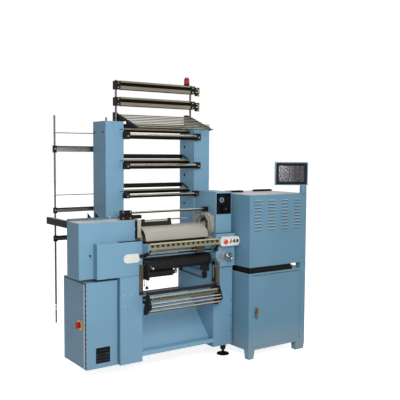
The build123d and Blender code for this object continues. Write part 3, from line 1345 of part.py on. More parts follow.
# Belt, its two pulleys and their studs on the right leg's inner wall
with BuildPart() as belt_drive:
    with BuildSketch(Plane.YZ.offset(belt_x[0])):
        belt_face(running_gap + belt_thickness)
    extrude(amount=belt_width)
    with BuildSketch(Plane.YZ.offset(belt_x[0])):
        belt_face(running_gap)
    extrude(amount=belt_width, mode=Mode.SUBTRACT)
    for pulley in pulleys:
        bar("X", belt_x, pulley[:2], pulley[2])
        bar("X", (belt_x[0] - 2 * sheet, belt_x[0]), pulley[:2], gear_shaft_radius)
        bar("X", (belt_x[1], right_in), pulley[:2], gear_shaft_radius)
keep(belt_drive.part, "belt_drive")

# Take-off rods, rear bar and comb, and the thin cloth rods with their clamp under the needle bed
cloth_clamp_x = (left_in + cloth_clamp_left, left_in + cloth_clamp_left + cloth_clamp_width)
with BuildPart() as front_rods:
    for (rod_y, rod_z), rod_radius in zip(takeoff_rod_places, takeoff_rod_radii):
        bar("X", (left_end_x[0], right_end_x[1]), (front + rod_y, rod_z), rod_radius)
    block(between_ends, (front - takeoff_bar_y - takeoff_bar_thickness, front - takeoff_bar_y),
          (takeoff_bar_bottom, takeoff_bar_top))
    block(between_ends, (front - takeoff_comb_y - sheet, front - takeoff_comb_y),
          (takeoff_comb_bottom, takeoff_comb_top))
    for (rod_y, rod_z), rod_left in zip(cloth_rod_places,
                                        (strut_spans[0][1], left_in + upper_cloth_rod_left)):
        bar("X", (rod_left, cloth_clamp_x[0] + cloth_rod_radius), (front - rod_y, rod_z), cloth_rod_radius)
    block(cloth_clamp_x, (front - cloth_rod_places[0][0] - 3 * cloth_rod_radius, head_plate_y[0]),
          (cloth_rod_places[0][1] - 6 * cloth_rod_radius, slideway_z[0]))
keep(front_rods.part, "front_rods")

# Driven take-off roller on small journals
with BuildPart() as takeoff_roller:
    bar("X", (between_ends[0] + seat_gap, between_ends[1] - seat_gap), takeoff_roller_at,
        takeoff_roller_radius)
    bar("X", (left_end_x[0], right_end_x[1]), takeoff_roller_at, takeoff_journal_radius)
keep(takeoff_roller.part, "takeoff_roller")
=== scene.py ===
import math

import bmesh
import bpy
from bpy.props import FloatProperty, FloatVectorProperty, IntProperty, PointerProperty
from mathutils import Matrix, Vector


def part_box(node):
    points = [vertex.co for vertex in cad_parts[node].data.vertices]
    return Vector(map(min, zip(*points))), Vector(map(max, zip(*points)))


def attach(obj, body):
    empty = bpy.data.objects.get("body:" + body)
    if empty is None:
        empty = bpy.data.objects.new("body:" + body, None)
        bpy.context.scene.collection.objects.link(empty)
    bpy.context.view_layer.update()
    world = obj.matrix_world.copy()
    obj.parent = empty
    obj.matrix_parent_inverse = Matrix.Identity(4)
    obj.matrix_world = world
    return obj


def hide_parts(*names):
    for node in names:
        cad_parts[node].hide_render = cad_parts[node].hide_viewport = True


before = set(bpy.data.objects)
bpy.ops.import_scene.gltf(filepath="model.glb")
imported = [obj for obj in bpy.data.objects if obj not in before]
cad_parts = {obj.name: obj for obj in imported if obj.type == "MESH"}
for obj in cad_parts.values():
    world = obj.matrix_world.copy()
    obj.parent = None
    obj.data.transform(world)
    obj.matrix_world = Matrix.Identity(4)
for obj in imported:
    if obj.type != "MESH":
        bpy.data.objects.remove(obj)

bl_info = {
    "name": "Crochet Knitting Machine",
    "version": (1, 0, 0),
    "blender": (4, 5, 0),
    "location": "View3D > Sidebar > Knitting Machine",
    "description": "Finishes and details for a crochet knitting machine on its packed frame",
    "category": "Object",
}

MM = 0.001
MACHINE = "machine"
LEG_CORNER = Vector(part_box("left_leg")[0])
TOWARDS = Vector((0, -1, 0))
LEFTWARDS = Vector((-1, 0, 0))
RIGHTWARDS = -LEFTWARDS
UPWARDS = Vector((0, 0, 1))
SHARP_ANGLE = math.radians(35)
FOLD_ANGLE = math.radians(50)
GREY = (0.5, 0.5, 0.5, 1)

# Millimetres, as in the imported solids
LEFT_FACE, RIGHT_FACE = 200, 900
CABINET_SIDE = -274
GEARBOX_TOP = 1230
DRUM_CROWN = 1176
COMB_FRONT = -92.6
RING_LEFT = 812
GUIDE_BAR_BOTTOMS = (2284, 2150)
REAR_BAR_SPANS = ((1770, 1817), (1272, 1308), (1040, 1077))
ROW_GUIDE_SPANS = ((1936, 1969), (1673, 1711), (1421, 1458))
TOP_POSTS = (189, 934)
REAR_POSTS = (-275, 193)
CAMERA_PLACE = (-2400.1, -4499.3, 1753.1)
CAMERA_HEADING, CAMERA_TILT, CAMERA_ROLL = (math.radians(angle) for angle in (35.006, 3.941, 0.332))
CAMERA_LENS, CAMERA_SENSOR = 59.36, 36.0


def at(x, y, z):
    """Place in metres, from millimetres off the left leg's outer front edge and the floor."""
    return Vector((LEG_CORNER.x + x * MM, LEG_CORNER.y + y * MM, z * MM))


def millimetres(place):
    """The numbers that at() turns into this place."""
    return (place.x - LEG_CORNER.x) / MM, (place.y - LEG_CORNER.y) / MM, place.z / MM


def corners(name):
    """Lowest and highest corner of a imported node."""
    return tuple(Vector(corner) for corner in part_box(name))


def middle_of(name, **known):
    """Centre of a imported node's box, with the coordinates that are known put in."""
    low, high = corners(name)
    middle = (low + high) / 2
    for axis, value in known.items():
        setattr(middle, axis, value)
    return middle


def turns(angle, steps):
    """Equal angles from nothing up to the given one."""
    return [angle * step / steps for step in range(steps + 1)]


def srgb(red, green, blue):
    """Linear colour of an 8 bit display colour."""
    linear = []
    for channel in (red, green, blue):
        share = channel / 255
        linear.append(share / 12.92 if share <= 0.04045 else ((share + 0.055) / 1.055) ** 2.4)
    return (*linear, 1.0)


def tinted(colour, share):
    """A colour with its red, green and blue multiplied, up to white."""
    return (*(min(1.0, channel * share) for channel in colour[:3]), 1.0)


def colour_setting(label, note, display):
    """Colour property with its default given as a display colour."""
    return FloatVectorProperty(name=label, description=note, subtype="COLOR", size=4, min=0, max=1,
                               default=srgb(*display))


def length_setting(label, note, default):
    """Length property with its default in millimetres."""
    return FloatProperty(name=label, description=note, default=default * MM, unit="LENGTH",
                         subtype="DISTANCE")


class MachineSizes(bpy.types.PropertyGroup):
    edge_round: length_setting("Edge rounding", "Rounding of the sheet metal's folded edges", 1.2)
    louvre_rise: length_setting("Louvre rise", "How far a louvre hood stands off the sheet", 8.0)
    louvre_height: length_setting("Louvre height", "Height of a louvre hood", 10.0)
    turned_steps: IntProperty(name="Turned steps", description="Faces round a turned piece", default=48,
                              min=12, max=128)


class MachineColours(bpy.types.PropertyGroup):
    blue: colour_setting("Machine blue", "Legs, columns, gearbox and cabinets", (120, 161, 187))
    box_blue: colour_setting("Box blue", "Electronics box and its stand", (104, 145, 168))
    # Paler blue of the louvre hoods: a painted highlight on their slopes
    louvre_blue: colour_setting("Louvre blue", "Paler blue of the louvre hoods, a painted highlight", (134, 166, 181))
    cream: colour_setting("Cream", "Head plates", (172, 167, 151))
    cover_grey: colour_setting("Cover grey", "Drum cover and ring housing", (156, 154, 143))
    khaki: colour_setting("Khaki", "Anodised guide bars", (158, 150, 128))
    olive: colour_setting("Olive", "Rails on the legs", (88, 80, 60))
    black: colour_setting("Black", "Black paint and plastic", (26, 25, 26))
    brass: colour_setting("Comb brass", "Comb bar", (162, 153, 122))
    signal_red: colour_setting("Signal red", "Emergency stop", (214, 58, 44))
    switch_red: colour_setting("Switch red", "Main switch", (172, 40, 26))
    beacon_red: colour_setting("Beacon red", "Lens of the beacon", (158, 16, 26))
    signal_yellow: colour_setting("Signal yellow", "Plate behind the main switch", (255, 214, 104))


def sizes():
    return bpy.context.scene.machine_sizes


def colours():
    return bpy.context.scene.machine_colours


def set_sockets(node, **values):
    """Sets a node's inputs by name, with underscores for spaces."""
    for name, value in values.items():
        node.inputs[name.replace("_", " ")].default_value = value
    return node


def start_group(name, outputs, **inputs):
    """Starts a shader node group with named outputs, and with inputs given by their defaults."""
    group = bpy.data.node_groups.new(name, "ShaderNodeTree")
    for label, default in inputs.items():
        kind = "NodeSocketColor" if isinstance(default, tuple) else "NodeSocketFloat"
        group.interface.new_socket(label, in_out="INPUT", socket_type=kind).default_value = default
    for label in outputs:
        kind = "NodeSocketColor" if label == "Colour" else "NodeSocketFloat"
        group.interface.new_socket(label, in_out="OUTPUT", socket_type=kind)
    given = group.nodes.new("NodeGroupInput").outputs
    result = group.nodes.new("NodeGroupOutput").inputs
    return group, given, result


def add_group(tree, name, **values):
    """Puts a node group into a tree."""
    node = tree.nodes.new("ShaderNodeGroup")
    node.node_tree = bpy.data.node_groups[name]
    return set_sockets(node, **values)


def object_place(tree):
    """Object coordinates."""
    return tree.nodes.new("ShaderNodeTexCoord").outputs["Object"]


def facing_of(tree):
    """The way a face looks."""
    return tree.nodes.new("ShaderNodeNewGeometry").outputs["Normal"]


def axis_value(tree, vector, axis):
    """One coordinate of a vector."""
    split = tree.nodes.new("ShaderNodeSeparateXYZ")
    tree.links.new(vector, split.inputs[0])
    return split.outputs[axis]


def add_noise(tree, vector, scale, detail, stretch=None):
    """Noise over a vector, stretched along an axis where asked."""
    if stretch:
        mapping = set_sockets(tree.nodes.new("ShaderNodeMapping"), Scale=stretch)
        tree.links.new(vector, mapping.inputs["Vector"])
        vector = mapping.outputs["Vector"]
    noise = set_sockets(tree.nodes.new("ShaderNodeTexNoise"), Scale=scale, Detail=detail, Roughness=0.6)
    tree.links.new(vector, noise.inputs["Vector"])
    return noise.outputs["Fac"]


def add_range(tree, value, low, high, to_low=0.0, to_high=1.0):
    """Maps a value from one range to another, clamped."""
    node = tree.nodes.new("ShaderNodeMapRange")
    set_sockets(node, From_Min=low, From_Max=high, To_Min=to_low, To_Max=to_high)
    tree.links.new(value, node.inputs["Value"])
    return node.outputs["Result"]


def add_math(tree, operation, first, second):
    """Arithmetic on two sockets or numbers."""
    node = tree.nodes.new("ShaderNodeMath")
    node.operation = operation
    for place, value in enumerate((first, second)):
        if isinstance(value, (int, float)):
            node.inputs[place].default_value = value
        else:
            tree.links.new(value, node.inputs[place])
    return node.outputs["Value"]


def add_mix(tree, share, first, second):
    """Mixes two colours by a share; each is a socket or a colour."""
    node = tree.nodes.new("ShaderNodeMix")
    node.data_type = "RGBA"
    for name, value in (("Factor", share), ("A", first), ("B", second)):
        socket = next(s for s in node.inputs if s.name == name and s.enabled)
        if isinstance(value, (int, float, tuple)):
            socket.default_value = value
        else:
            tree.links.new(value, socket)
    return next(s for s in node.outputs if s.enabled)


def make_paint_group():
    """Sprayed paint: cloudy colour, orange peel, and paler edges, partly worn and partly a painted
    highlight.
    """
    group, given, result = start_group("Sprayed paint", ("Colour", "Roughness", "Height"), Colour=GREY,
                                       Cloud=GREY, Roughness=0.35, Peel=260.0, Wear=0.3)
    place = object_place(group)
    clouds = add_range(group, add_noise(group, place, 2.6, 3.0), 0.3, 0.75)
    runs = add_range(group, add_noise(group, place, 7.0, 3.0, (1.0, 1.0, 0.15)), 0.35, 0.8, 0.0, 0.5)
    uneven = add_math(group, "MAXIMUM", clouds, runs)
    tone = add_mix(group, uneven, given["Colour"], given["Cloud"])
    bevel = group.nodes.new("ShaderNodeBevel")
    bevel.samples = 4
    bevel.inputs["Radius"].default_value = 0.004
    dot = group.nodes.new("ShaderNodeVectorMath")
    dot.operation = "DOT_PRODUCT"
    group.links.new(bevel.outputs["Normal"], dot.inputs[0])
    group.links.new(facing_of(group), dot.inputs[1])
    # Paler paint along the edges: partly worn paint, partly a painted highlight on the folds
    edge = add_range(group, dot.outputs["Value"], 0.98, 0.80)
    speckle = add_range(group, add_noise(group, place, 60.0, 5.0), 0.4, 0.62)
    rubbed_and_highlit = add_math(group, "MULTIPLY", add_math(group, "MULTIPLY", edge, speckle), given["Wear"])
    pale = add_mix(group, 0.45, given["Colour"], (0.75, 0.78, 0.80, 1))
    group.links.new(add_mix(group, rubbed_and_highlit, tone, pale), result["Colour"])
    smear = add_range(group, add_noise(group, place, 11.0, 6.0), 0.35, 0.7, -0.05, 0.07)
    group.links.new(add_math(group, "ADD", given["Roughness"], smear), result["Roughness"])
    peel = set_sockets(group.nodes.new("ShaderNodeTexNoise"), Detail=2.0)
    group.links.new(place, peel.inputs["Vector"])
    group.links.new(given["Peel"], peel.inputs["Scale"])
    group.links.new(peel.outputs["Fac"], result["Height"])


def make_dust_group():
    """Dust that settles on faces that look up and near the floor; on upward faces the paler colour is also
    a painted sheen.
    """
    group, given, result = start_group("Settled dust and sheen", ("Colour",), Colour=GREY, Amount=0.3)
    place = object_place(group)
    # Upward faces turn paler: dust, and also a painted sheen of light on tops
    up = add_range(group, axis_value(group, facing_of(group), "Z"), 0.3, 0.95)
    low = add_range(group, axis_value(group, place, "Z"), 0.30, 0.02, 0.0, 0.25)
    fluff = add_range(group, add_noise(group, place, 34.0, 8.0), 0.25, 0.6, 0.72, 1.0)
    laid = add_math(group, "MAXIMUM", up, low)
    mask = add_math(group, "MULTIPLY", laid, add_math(group, "MULTIPLY", fluff, given["Amount"]))
    group.links.new(add_mix(group, mask, given["Colour"], (0.64, 0.62, 0.56, 1)), result["Colour"])


def make_metal_group():
    """Drawn or turned metal: fine lines along one axis, cloudy stains and painted shade on faces that look
    down.
    """
    group, given, result = start_group("Drawn metal", ("Colour", "Roughness", "Height"), Colour=GREY,
                                       Stain=GREY, Roughness=0.25, Underside=0.0)
    place = object_place(group)
    lines = add_noise(group, place, 420.0, 3.0, (0.02, 1.0, 1.0))
    stain = add_range(group, add_noise(group, place, 16.0, 6.0), 0.42, 0.75, 0.0, 0.6)
    tone = add_mix(group, stain, given["Colour"], given["Stain"])
    # Darker towards faces that look down: painted shade standing for dark reflections below
    below = add_range(group, axis_value(group, facing_of(group), "Z"), 0.42, 0.05)
    underside_shade = add_math(group, "MULTIPLY", below, given["Underside"])
    group.links.new(add_mix(group, underside_shade, tone, (0.018, 0.015, 0.012, 1)), result["Colour"])
    streak = add_range(group, lines, 0.3, 0.7, -0.06, 0.08)
    group.links.new(add_math(group, "ADD", given["Roughness"], streak), result["Roughness"])
    group.links.new(lines, result["Height"])


def make_grain_group():
    """Moulded plastic and rubber: fine spark grain and faint handling marks."""
    group, given, result = start_group("Moulded grain", ("Colour", "Roughness", "Height"), Colour=GREY,
                                       Mark=GREY, Roughness=0.5, Grain=500.0)
    place = object_place(group)
    marks = add_range(group, add_noise(group, place, 22.0, 6.0), 0.42, 0.72, 0.0, 0.8)
    group.links.new(add_mix(group, marks, given["Colour"], given["Mark"]), result["Colour"])
    rough = add_math(group, "ADD", given["Roughness"], add_math(group, "MULTIPLY", marks, 0.15))
    group.links.new(rough, result["Roughness"])
    cells = group.nodes.new("ShaderNodeTexVoronoi")
    group.links.new(place, cells.inputs["Vector"])
    group.links.new(given["Grain"], cells.inputs["Scale"])
    group.links.new(cells.outputs["Distance"], result["Height"])


def height_mask(tree, spans):
    """One between the heights given in millimetres, and nothing elsewhere."""
    height = axis_value(tree, object_place(tree), "Z")
    mask = 0.0
    for low, high in spans:
        above = add_range(tree, height, (low - 1) * MM, low * MM)
        below = add_range(tree, height, (high + 1) * MM, high * MM)
        mask = add_math(tree, "MAXIMUM", mask, add_math(tree, "MULTIPLY", above, below))
    return mask


def make_finish(name, group, bump_distance, bump_strength, values, constants, dust_and_sheen=0.0, bands=None):
    """Material that takes colour, roughness and bump from a group, and plain values from constants."""
    material = bpy.data.materials.new(name)
    material.use_nodes = True
    tree = material.node_tree
    shader = set_sockets(tree.nodes["Principled BSDF"], **constants)
    source = add_group(tree, group, **values)
    colour = source.outputs["Colour"]
    if dust_and_sheen:
        dust_and_sheen_node = add_group(tree, "Settled dust and sheen", Amount=dust_and_sheen)
        tree.links.new(colour, dust_and_sheen_node.inputs["Colour"])
        colour = dust_and_sheen_node.outputs["Colour"]
    for other, spans in (bands or {}).items():
        colour = add_mix(tree, height_mask(tree, spans), colour, other)
    bump = set_sockets(tree.nodes.new("ShaderNodeBump"), Strength=bump_strength, Distance=bump_distance)
    tree.links.new(source.outputs["Height"], bump.inputs["Height"])
    tree.links.new(bump.outputs["Normal"], shader.inputs["Normal"])
    tree.links.new(source.outputs["Roughness"], shader.inputs["Roughness"])
    tree.links.new(colour, shader.inputs["Base Color"])
    return material


def make_paint(name, colour, roughness, gloss, wear_and_highlight, dust_and_sheen, bands=None):
    """Sprayed paint with dust on it and a painted sheen on its upward faces, and with bands of other
    colours where given.
    """
    return make_finish(
        name, "Sprayed paint", 0.0004, 0.10,
        {"Colour": colour, "Cloud": tinted(colour, 0.9), "Roughness": roughness, "Wear": wear_and_highlight},
        {"Specular_IOR_Level": gloss, "Coat_Weight": gloss * 0.25, "Coat_Roughness": 0.12}, dust_and_sheen, bands)


def make_metal(name, colour, roughness, stain, underside=0.0, metallic=1.0, bands=None):
    """Bare metal with drawing lines, and with bands of other colours where given."""
    return make_finish(
        name, "Drawn metal", 0.0002, 0.15,
        {"Colour": colour, "Stain": tinted(colour, stain), "Roughness": roughness, "Underside": underside},
        {"Metallic": metallic}, bands=bands)


def make_moulded(name, colour, roughness, grain, mark, gloss=0.5):
    """Plastic or rubber with a moulded grain."""
    return make_finish(
        name, "Moulded grain", 0.0003, 0.2,
        {"Colour": colour, "Mark": tinted(colour, mark), "Roughness": roughness, "Grain": grain},
        {"Specular_IOR_Level": gloss})


def make_screen_finish():
    """Screen behind glass: rows of plain fields and pale specks, read from the glass's own map."""
    material = make_finish("Screen", "Moulded grain", 0.0001, 0.02, {"Roughness": 0.12, "Grain": 900.0},
                           {"Specular_IOR_Level": 0.3, "Emission_Strength": 0.25})
    tree = material.node_tree
    own_map = tree.nodes.new("ShaderNodeUVMap").outputs["UV"]
    fields = set_sockets(tree.nodes.new("ShaderNodeTexBrick"), Scale=9.0, Mortar_Size=0.03, Brick_Width=0.9,
                         Row_Height=0.42, Color1=srgb(62, 58, 64), Color2=srgb(40, 36, 42),
                         Mortar=srgb(20, 18, 22))
    tree.links.new(own_map, fields.inputs["Vector"])
    left = add_range(tree, axis_value(tree, own_map, "X"), 0.62, 0.12, 0.2, 1.0)
    specks = add_range(tree, add_noise(tree, own_map, 20.0, 5.0), 0.5, 0.6)
    lit = add_math(tree, "MULTIPLY", left, specks)
    picture = add_mix(tree, lit, fields.outputs["Color"], srgb(186, 186, 194))
    for socket in ("Base Color", "Emission Color"):
        tree.links.new(picture, tree.nodes["Principled BSDF"].inputs[socket])
    return material


def make_finishes():
    """Every finish of the machine, by name."""
    c = colours()
    # Dark colour painted in bands at the heights given below
    dark_band = srgb(30, 26, 22)
    guide_dark = [(low, low + 5) for low in GUIDE_BAR_BOTTOMS]
    guide_dark += [(low + 33, low + 60) for low in GUIDE_BAR_BOTTOMS]
    rear_dark = [(high - 10, high) for low, high in REAR_BAR_SPANS]
    rear_grey = [(low, high - 10) for low, high in REAR_BAR_SPANS]
    row_dark = [(low, high - 14) for low, high in ROW_GUIDE_SPANS]
    rows = {
        # Name, colour, roughness, gloss, worn and painted-highlight edges, dust with painted sheen, and
        # bands
        make_paint: {
            "blue": ("Machine blue", c.blue, 0.34, 0.2, 0.5, 0.2),
            # More dust on the gearbox: its pale top is mostly a painted reflection
            "gearbox_blue": ("Gearbox blue", c.blue, 0.34, 0.2, 0.5, 1.4),
            # A lighter copy of machine blue: painted light on the pan and on the rails under the comb
            "pan_blue": ("Pan blue", tinted(c.blue, 1.15), 0.34, 0.2, 0.5, 0.05),
            # Dust on the box also gives its top a painted sheen
            "box_blue": ("Box blue", c.box_blue, 0.34, 0.22, 0.4, 0.85),
            # Dark grey for the sheet on the pan's flat top: painted shade
            "mat": ("Floor mat", srgb(74, 84, 92), 0.6, 0.1, 0.2, 0.1),
            "floor_blue": ("Shaded blue", tinted(c.blue, 0.42), 0.5, 0.1, 0.2, 0.1),
            # Louvre hoods in a paler blue: painted highlight
            "louvre": ("Louvre blue", c.louvre_blue, 0.4, 0.3, 0.3, 0.1),
            "shade": ("Louvre shade", tinted(c.box_blue, 0.42), 0.5, 0.1, 0.2, 0.0),
            # Pale blue: a painted highlight on the door's folded hem, also used for screw heads
            "hem": ("Folded hem", srgb(208, 224, 231), 0.4, 0.3, 0.3, 0.1),
            "cream": ("Cream paint", c.cream, 0.42, 0.25, 0.4, 0.2),
            "cover": ("Cover grey", c.cover_grey, 0.36, 0.3, 0.5, 0.2, {dark_band: [(DRUM_CROWN, 1300)]}),
            "ring": ("Ring grey", tinted(c.cover_grey, 0.8), 0.36, 0.35, 0.8, 0.1),
            "black": ("Black paint", c.black, 0.36, 0.12, 0.25, 0.03),
            "beam": ("Beam black", c.black, 0.36, 0.12, 0.4, 0.1, {srgb(92, 116, 136): [(1230.5, 1248.5)]}),
            "olive": ("Olive paint", c.olive, 0.36, 0.25, 0.6, 0.05, {dark_band: [(600, 664), (880, 1010)]}),
            "white": ("White enamel", srgb(226, 226, 222), 0.28, 0.4, 0.2, 0.1),
            "handle": ("Red lacquer", srgb(122, 62, 52), 0.3, 0.4, 0.6, 0.05,
                       {srgb(96, 104, 100): [(340, 396)]}),
        },
        # Name, colour, roughness, paleness of stains, painted shade on downward faces, metallic and bands
        make_metal: {
            "rear_guide": ("Rear bar", c.khaki, 0.34, 0.75, 0.0, 1.0,
                           {dark_band: guide_dark + rear_dark, srgb(132, 130, 124): rear_grey}),
            "row_guide": ("Row bar", c.khaki, 0.34, 0.75, 0.0, 1.0, {dark_band: row_dark}),
            "khaki": ("Khaki strip", srgb(128, 121, 96), 0.4, 0.7, 0.0, 0.6),
            "lip": ("Pale khaki", srgb(196, 190, 162), 0.4, 0.7, 0.0, 0.4),
            "rod": ("Rods", srgb(222, 216, 198), 0.24, 0.7, 0.95, 0.75),
            "front_rod": ("Take-off rods", srgb(222, 214, 192), 0.26, 0.7, 0.95, 0.35,
                          {dark_band: [(639, 667)]}),
            "thin_rod": ("Thin rods", srgb(176, 170, 150), 0.34, 0.6, 0.8, 0.5),
            "chrome": ("Chrome", srgb(214, 214, 212), 0.14, 0.55, 0.5),
            "post": ("Ground posts", srgb(110, 109, 105), 0.45, 0.7, 0.0, 1.0, {dark_band: [(345, 462)]}),
            "steel": ("Turned steel", srgb(170, 168, 160), 0.30, 0.5),
            "speckled": ("Ground iron", srgb(196, 198, 196), 0.42, 0.3),
            "dark_steel": ("Blued steel", srgb(52, 50, 50), 0.34, 0.5),
            "roller": ("Feed rollers", srgb(204, 198, 180), 0.24, 0.6, 1.0),
            "needle": ("Oiled steel", srgb(74, 62, 50), 0.36, 0.5),
            "brass": ("Comb brass", c.brass, 0.34, 0.7, 0.0, 0.6),
        },
        # Name, colour, roughness, grain, brightness of marks and gloss
        make_moulded: {
            "rubber": ("Roller rubber", srgb(22, 21, 22), 0.40, 700.0, 2.2, 0.18),
            "plastic": ("Black plastic", srgb(17, 17, 18), 0.45, 500.0, 2.2, 0.1),
            "red": ("Red plastic", c.signal_red, 0.25, 400.0, 1.2, 0.4),
            "knob_red": ("Knob red", c.switch_red, 0.3, 400.0, 1.2, 0.3),
            "yellow": ("Yellow plate", c.signal_yellow, 0.35, 400.0, 0.8, 0.3),
            "pale": ("Pale yellow", srgb(232, 224, 168), 0.4, 400.0, 0.8),
            "amber": ("Amber cap", srgb(216, 140, 44), 0.25, 400.0, 0.8),
            "green": ("Green cap", srgb(22, 84, 62), 0.25, 400.0, 1.3),
            "dark_red": ("Dark red cap", srgb(98, 16, 34), 0.25, 400.0, 1.3),
        },
    }
    finishes = {key: make(*row) for make, table in rows.items() for key, row in table.items()}
    finishes["screen"] = make_screen_finish()
    finishes["dome"] = make_finish(
        "Beacon lens", "Moulded grain", 0.0003, 0.1,
        {"Colour": c.beacon_red, "Mark": tinted(c.beacon_red, 1.5), "Roughness": 0.14, "Grain": 300.0},
        {"Specular_IOR_Level": 0.4})
    return finishes


FINISHES = {}
CAD_FINISHES = {
    "blue": ("left_leg", "right_leg", "left_column", "right_column", "gearbox_cover", "cabinet_shell",
             "cabinet_door", "upper_housing", "lower_housing"),
    "gearbox_blue": ("left_gearbox",),
    "pan_blue": ("base_pan",),
    "box_blue": ("electronics_box", "stand_body", "stand_door", "hmi_post", "hmi_housing"),
    "cream": ("head_plates",),
    "cover": ("head_cover",),
    "ring": ("ring_housing",),
    "black": ("rod_clamps", "rack_plates", "row_supports", "roller_brackets", "beacon_base"),
    "beam": ("rear_beams",),
    "olive": ("side_rails",),
    "white": ("control_box",),
    "handle": ("stand_handle",),
    "rear_guide": ("guide_bars",),
    "row_guide": ("row_guides",),
    "rod": ("weft_tube",),
    "front_rod": ("front_rods", "takeoff_roller"),
    "thin_rod": ("rack_rods",),
    "post": ("rack_posts",),
    "chrome": ("push_rod", "handwheel", "tension_lever"),
    "steel": ("main_shaft",),
    "needle": ("needle_bar",),
    "dark_steel": ("foot_stems", "upper_gear", "lower_gear"),
    "roller": ("feed_roller_top", "feed_roller_middle", "feed_roller_bottom"),
    "brass": ("comb_bar",),
    "rubber": ("takedown_roller", "press_roller", "belt_drive"),
    "plastic": ("foot_pads", "box_spacers", "drive_unit"),
    "red": ("switch_handle", "estop_button"),
    "amber": ("start_button",),
    "green": ("jog_button",),
    "dark_red": ("stop_button",),
    "screen": ("hmi_screen",),
    "dome": ("beacon_dome",),
}
ROUNDED = ("left_leg", "right_leg", "base_pan", "left_column", "right_column", "left_gearbox",
           "gearbox_cover", "cabinet_shell", "cabinet_door", "upper_housing", "lower_housing",
           "electronics_box", "stand_body", "stand_door", "hmi_housing", "head_plates", "rod_clamps",
           "rack_plates", "row_supports", "roller_brackets", "side_rails", "guide_bars", "row_guides",
           "rear_beams", "box_spacers", "drive_unit", "comb_bar", "stand_handle", "hmi_post", "head_cover",
           "control_box")


def place_piece(name, bm, finish, body=MACHINE, stands_for=()):
    """Turns a finished mesh into a piece that rides on a body."""
    bmesh.ops.remove_doubles(bm, verts=bm.verts, dist=1e-6)
    bmesh.ops.recalc_face_normals(bm, faces=bm.faces)
    mesh = bpy.data.meshes.new(name)
    bm.to_mesh(mesh)
    bm.free()
    mesh.shade_smooth()
    mesh.set_sharp_from_angle(angle=SHARP_ANGLE)
    mesh.materials.append(FINISHES[finish])
    piece = bpy.data.objects.new(name, mesh)
    bpy.context.scene.collection.objects.link(piece)
    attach(piece, body)
    if stands_for:
        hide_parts(*stands_for)
    return piece


def edges_of(verts):
    """Edges that end at the given vertices."""
    return list({edge for vert in verts for edge in vert.link_edges})


def round_edges(bm, edges, rounding, steps):
    """Rounds edges by millimetres."""
    bmesh.ops.bevel(bm, geom=edges, offset=rounding * MM, offset_type="OFFSET", affect="EDGES",
                    segments=steps, profile=0.5, material=-1)


def add_block(bm, low, high, rounding=0.0, steps=2):
    """Block between two corners, its edges rounded by millimetres where asked."""
    verts = bmesh.ops.create_cube(bm, size=1.0)["verts"]
    bmesh.ops.scale(bm, vec=high - low, verts=verts)
    bmesh.ops.translate(bm, vec=(low + high) / 2, verts=verts)
    if rounding:
        round_edges(bm, edges_of(verts), rounding, steps)
    return verts


def add_blocks(bm, *blocks):
    """Blocks given by two corners in millimetres, and by a rounding and its steps where asked."""
    for low, high, *rounding in blocks:
        add_block(bm, at(*low), at(*high), *rounding)


def place_blocks(name, finish, *blocks, body=MACHINE):
    """Piece that is made of blocks only."""
    bm = bmesh.new()
    add_blocks(bm, *blocks)
    place_piece(name, bm, finish, body)


def add_wedge(bm, low, high, lip):
    """Block whose front leans back from its lower edge to a thin lip at the top."""
    for vert in add_block(bm, low, high):
        if vert.co.z > (low.z + high.z) / 2 and vert.co.y < (low.y + high.y) / 2:
            vert.co.y = high.y - lip * MM


def add_turned(bm, start, direction, profile, steps=None):
    """Turned shape from pairs of millimetres: distance along the axis and radius."""
    axis = direction.normalized()
    side = axis.orthogonal().normalized()
    verts = [bm.verts.new(start + (axis * along + side * radius) * MM) for along, radius in profile]
    edges = [bm.edges.new(pair) for pair in zip(verts, verts[1:])]
    bmesh.ops.spin(bm, geom=verts + edges, cent=start, axis=axis, dvec=(0, 0, 0), angle=2 * math.pi,
                   steps=steps or sizes().turned_steps, use_merge=True, use_duplicate=False)


def bar(radius, length):
    """Profile of a plain round bar."""
    return (0, 0), (0, radius), (length, radius), (length, 0)


def tube(inner, outer, start, end):
    """Profile of a ring round the axis."""
    return (start, inner), (start, outer), (end, outer), (end, inner), (start, inner)


def place_turned(name, finish, start, direction, *profiles, steps=None, body=MACHINE, stands_for=()):
    """Piece of shapes turned about one axis."""
    bm = bmesh.new()
    for profile in profiles:
        add_turned(bm, start, direction, profile, steps)
    place_piece(name, bm, finish, body, stands_for)


def add_hook(bm, centre, axis, reach, wire, turn):
    """Round wire bent part of the way round an axis, with closed ends."""
    side = axis.orthogonal().normalized()
    made = bmesh.ops.create_circle(bm, segments=10, radius=wire * MM)["verts"]
    across = Matrix((side, axis, side.cross(axis))).transposed().to_4x4()
    bmesh.ops.transform(bm, matrix=Matrix.Translation(centre + side * reach * MM) @ across, verts=made)
    bmesh.ops.spin(bm, geom=made + edges_of(made), cent=centre, axis=axis, dvec=(0, 0, 0), angle=turn,
                   steps=24, use_merge=False, use_duplicate=False)
    bmesh.ops.holes_fill(bm, edges=[edge for edge in bm.edges if edge.is_boundary], sides=0)


def add_screws(bm, outward, radius, places):
    """Cap screws with a socket, seated on a face."""
    profile = ((0, 0), (0, radius), (radius * 0.7, radius), (radius * 0.85, radius * 0.82),
               (radius * 0.85, radius * 0.5), (radius * 0.4, radius * 0.46), (radius * 0.4, 0))
    for place in places:
        add_turned(bm, at(*place), outward, profile, 12)


def add_plugs(bm, outward, radius, places):
    """Round plugs with a dished middle, closing holes."""
    profile = ((0, 0), (0, radius), (2, radius * 0.95), (2, radius * 0.55), (0.6, radius * 0.45), (0.6, 0))
    for place in places:
        add_turned(bm, at(*place), outward, profile, 32)


def add_hex_bolts(bm, outward, radius, places):
    """Hexagon bolt heads on washers."""
    washer, thick = radius * 1.35, radius * 0.18
    head = ((thick, 0), (thick, radius), (radius * 0.8, radius), (radius * 0.95, radius * 0.8),
            (radius * 0.95, 0))
    for place in places:
        add_turned(bm, at(*place), outward, bar(washer, thick), 20)
        add_turned(bm, at(*place), outward, head, 6)


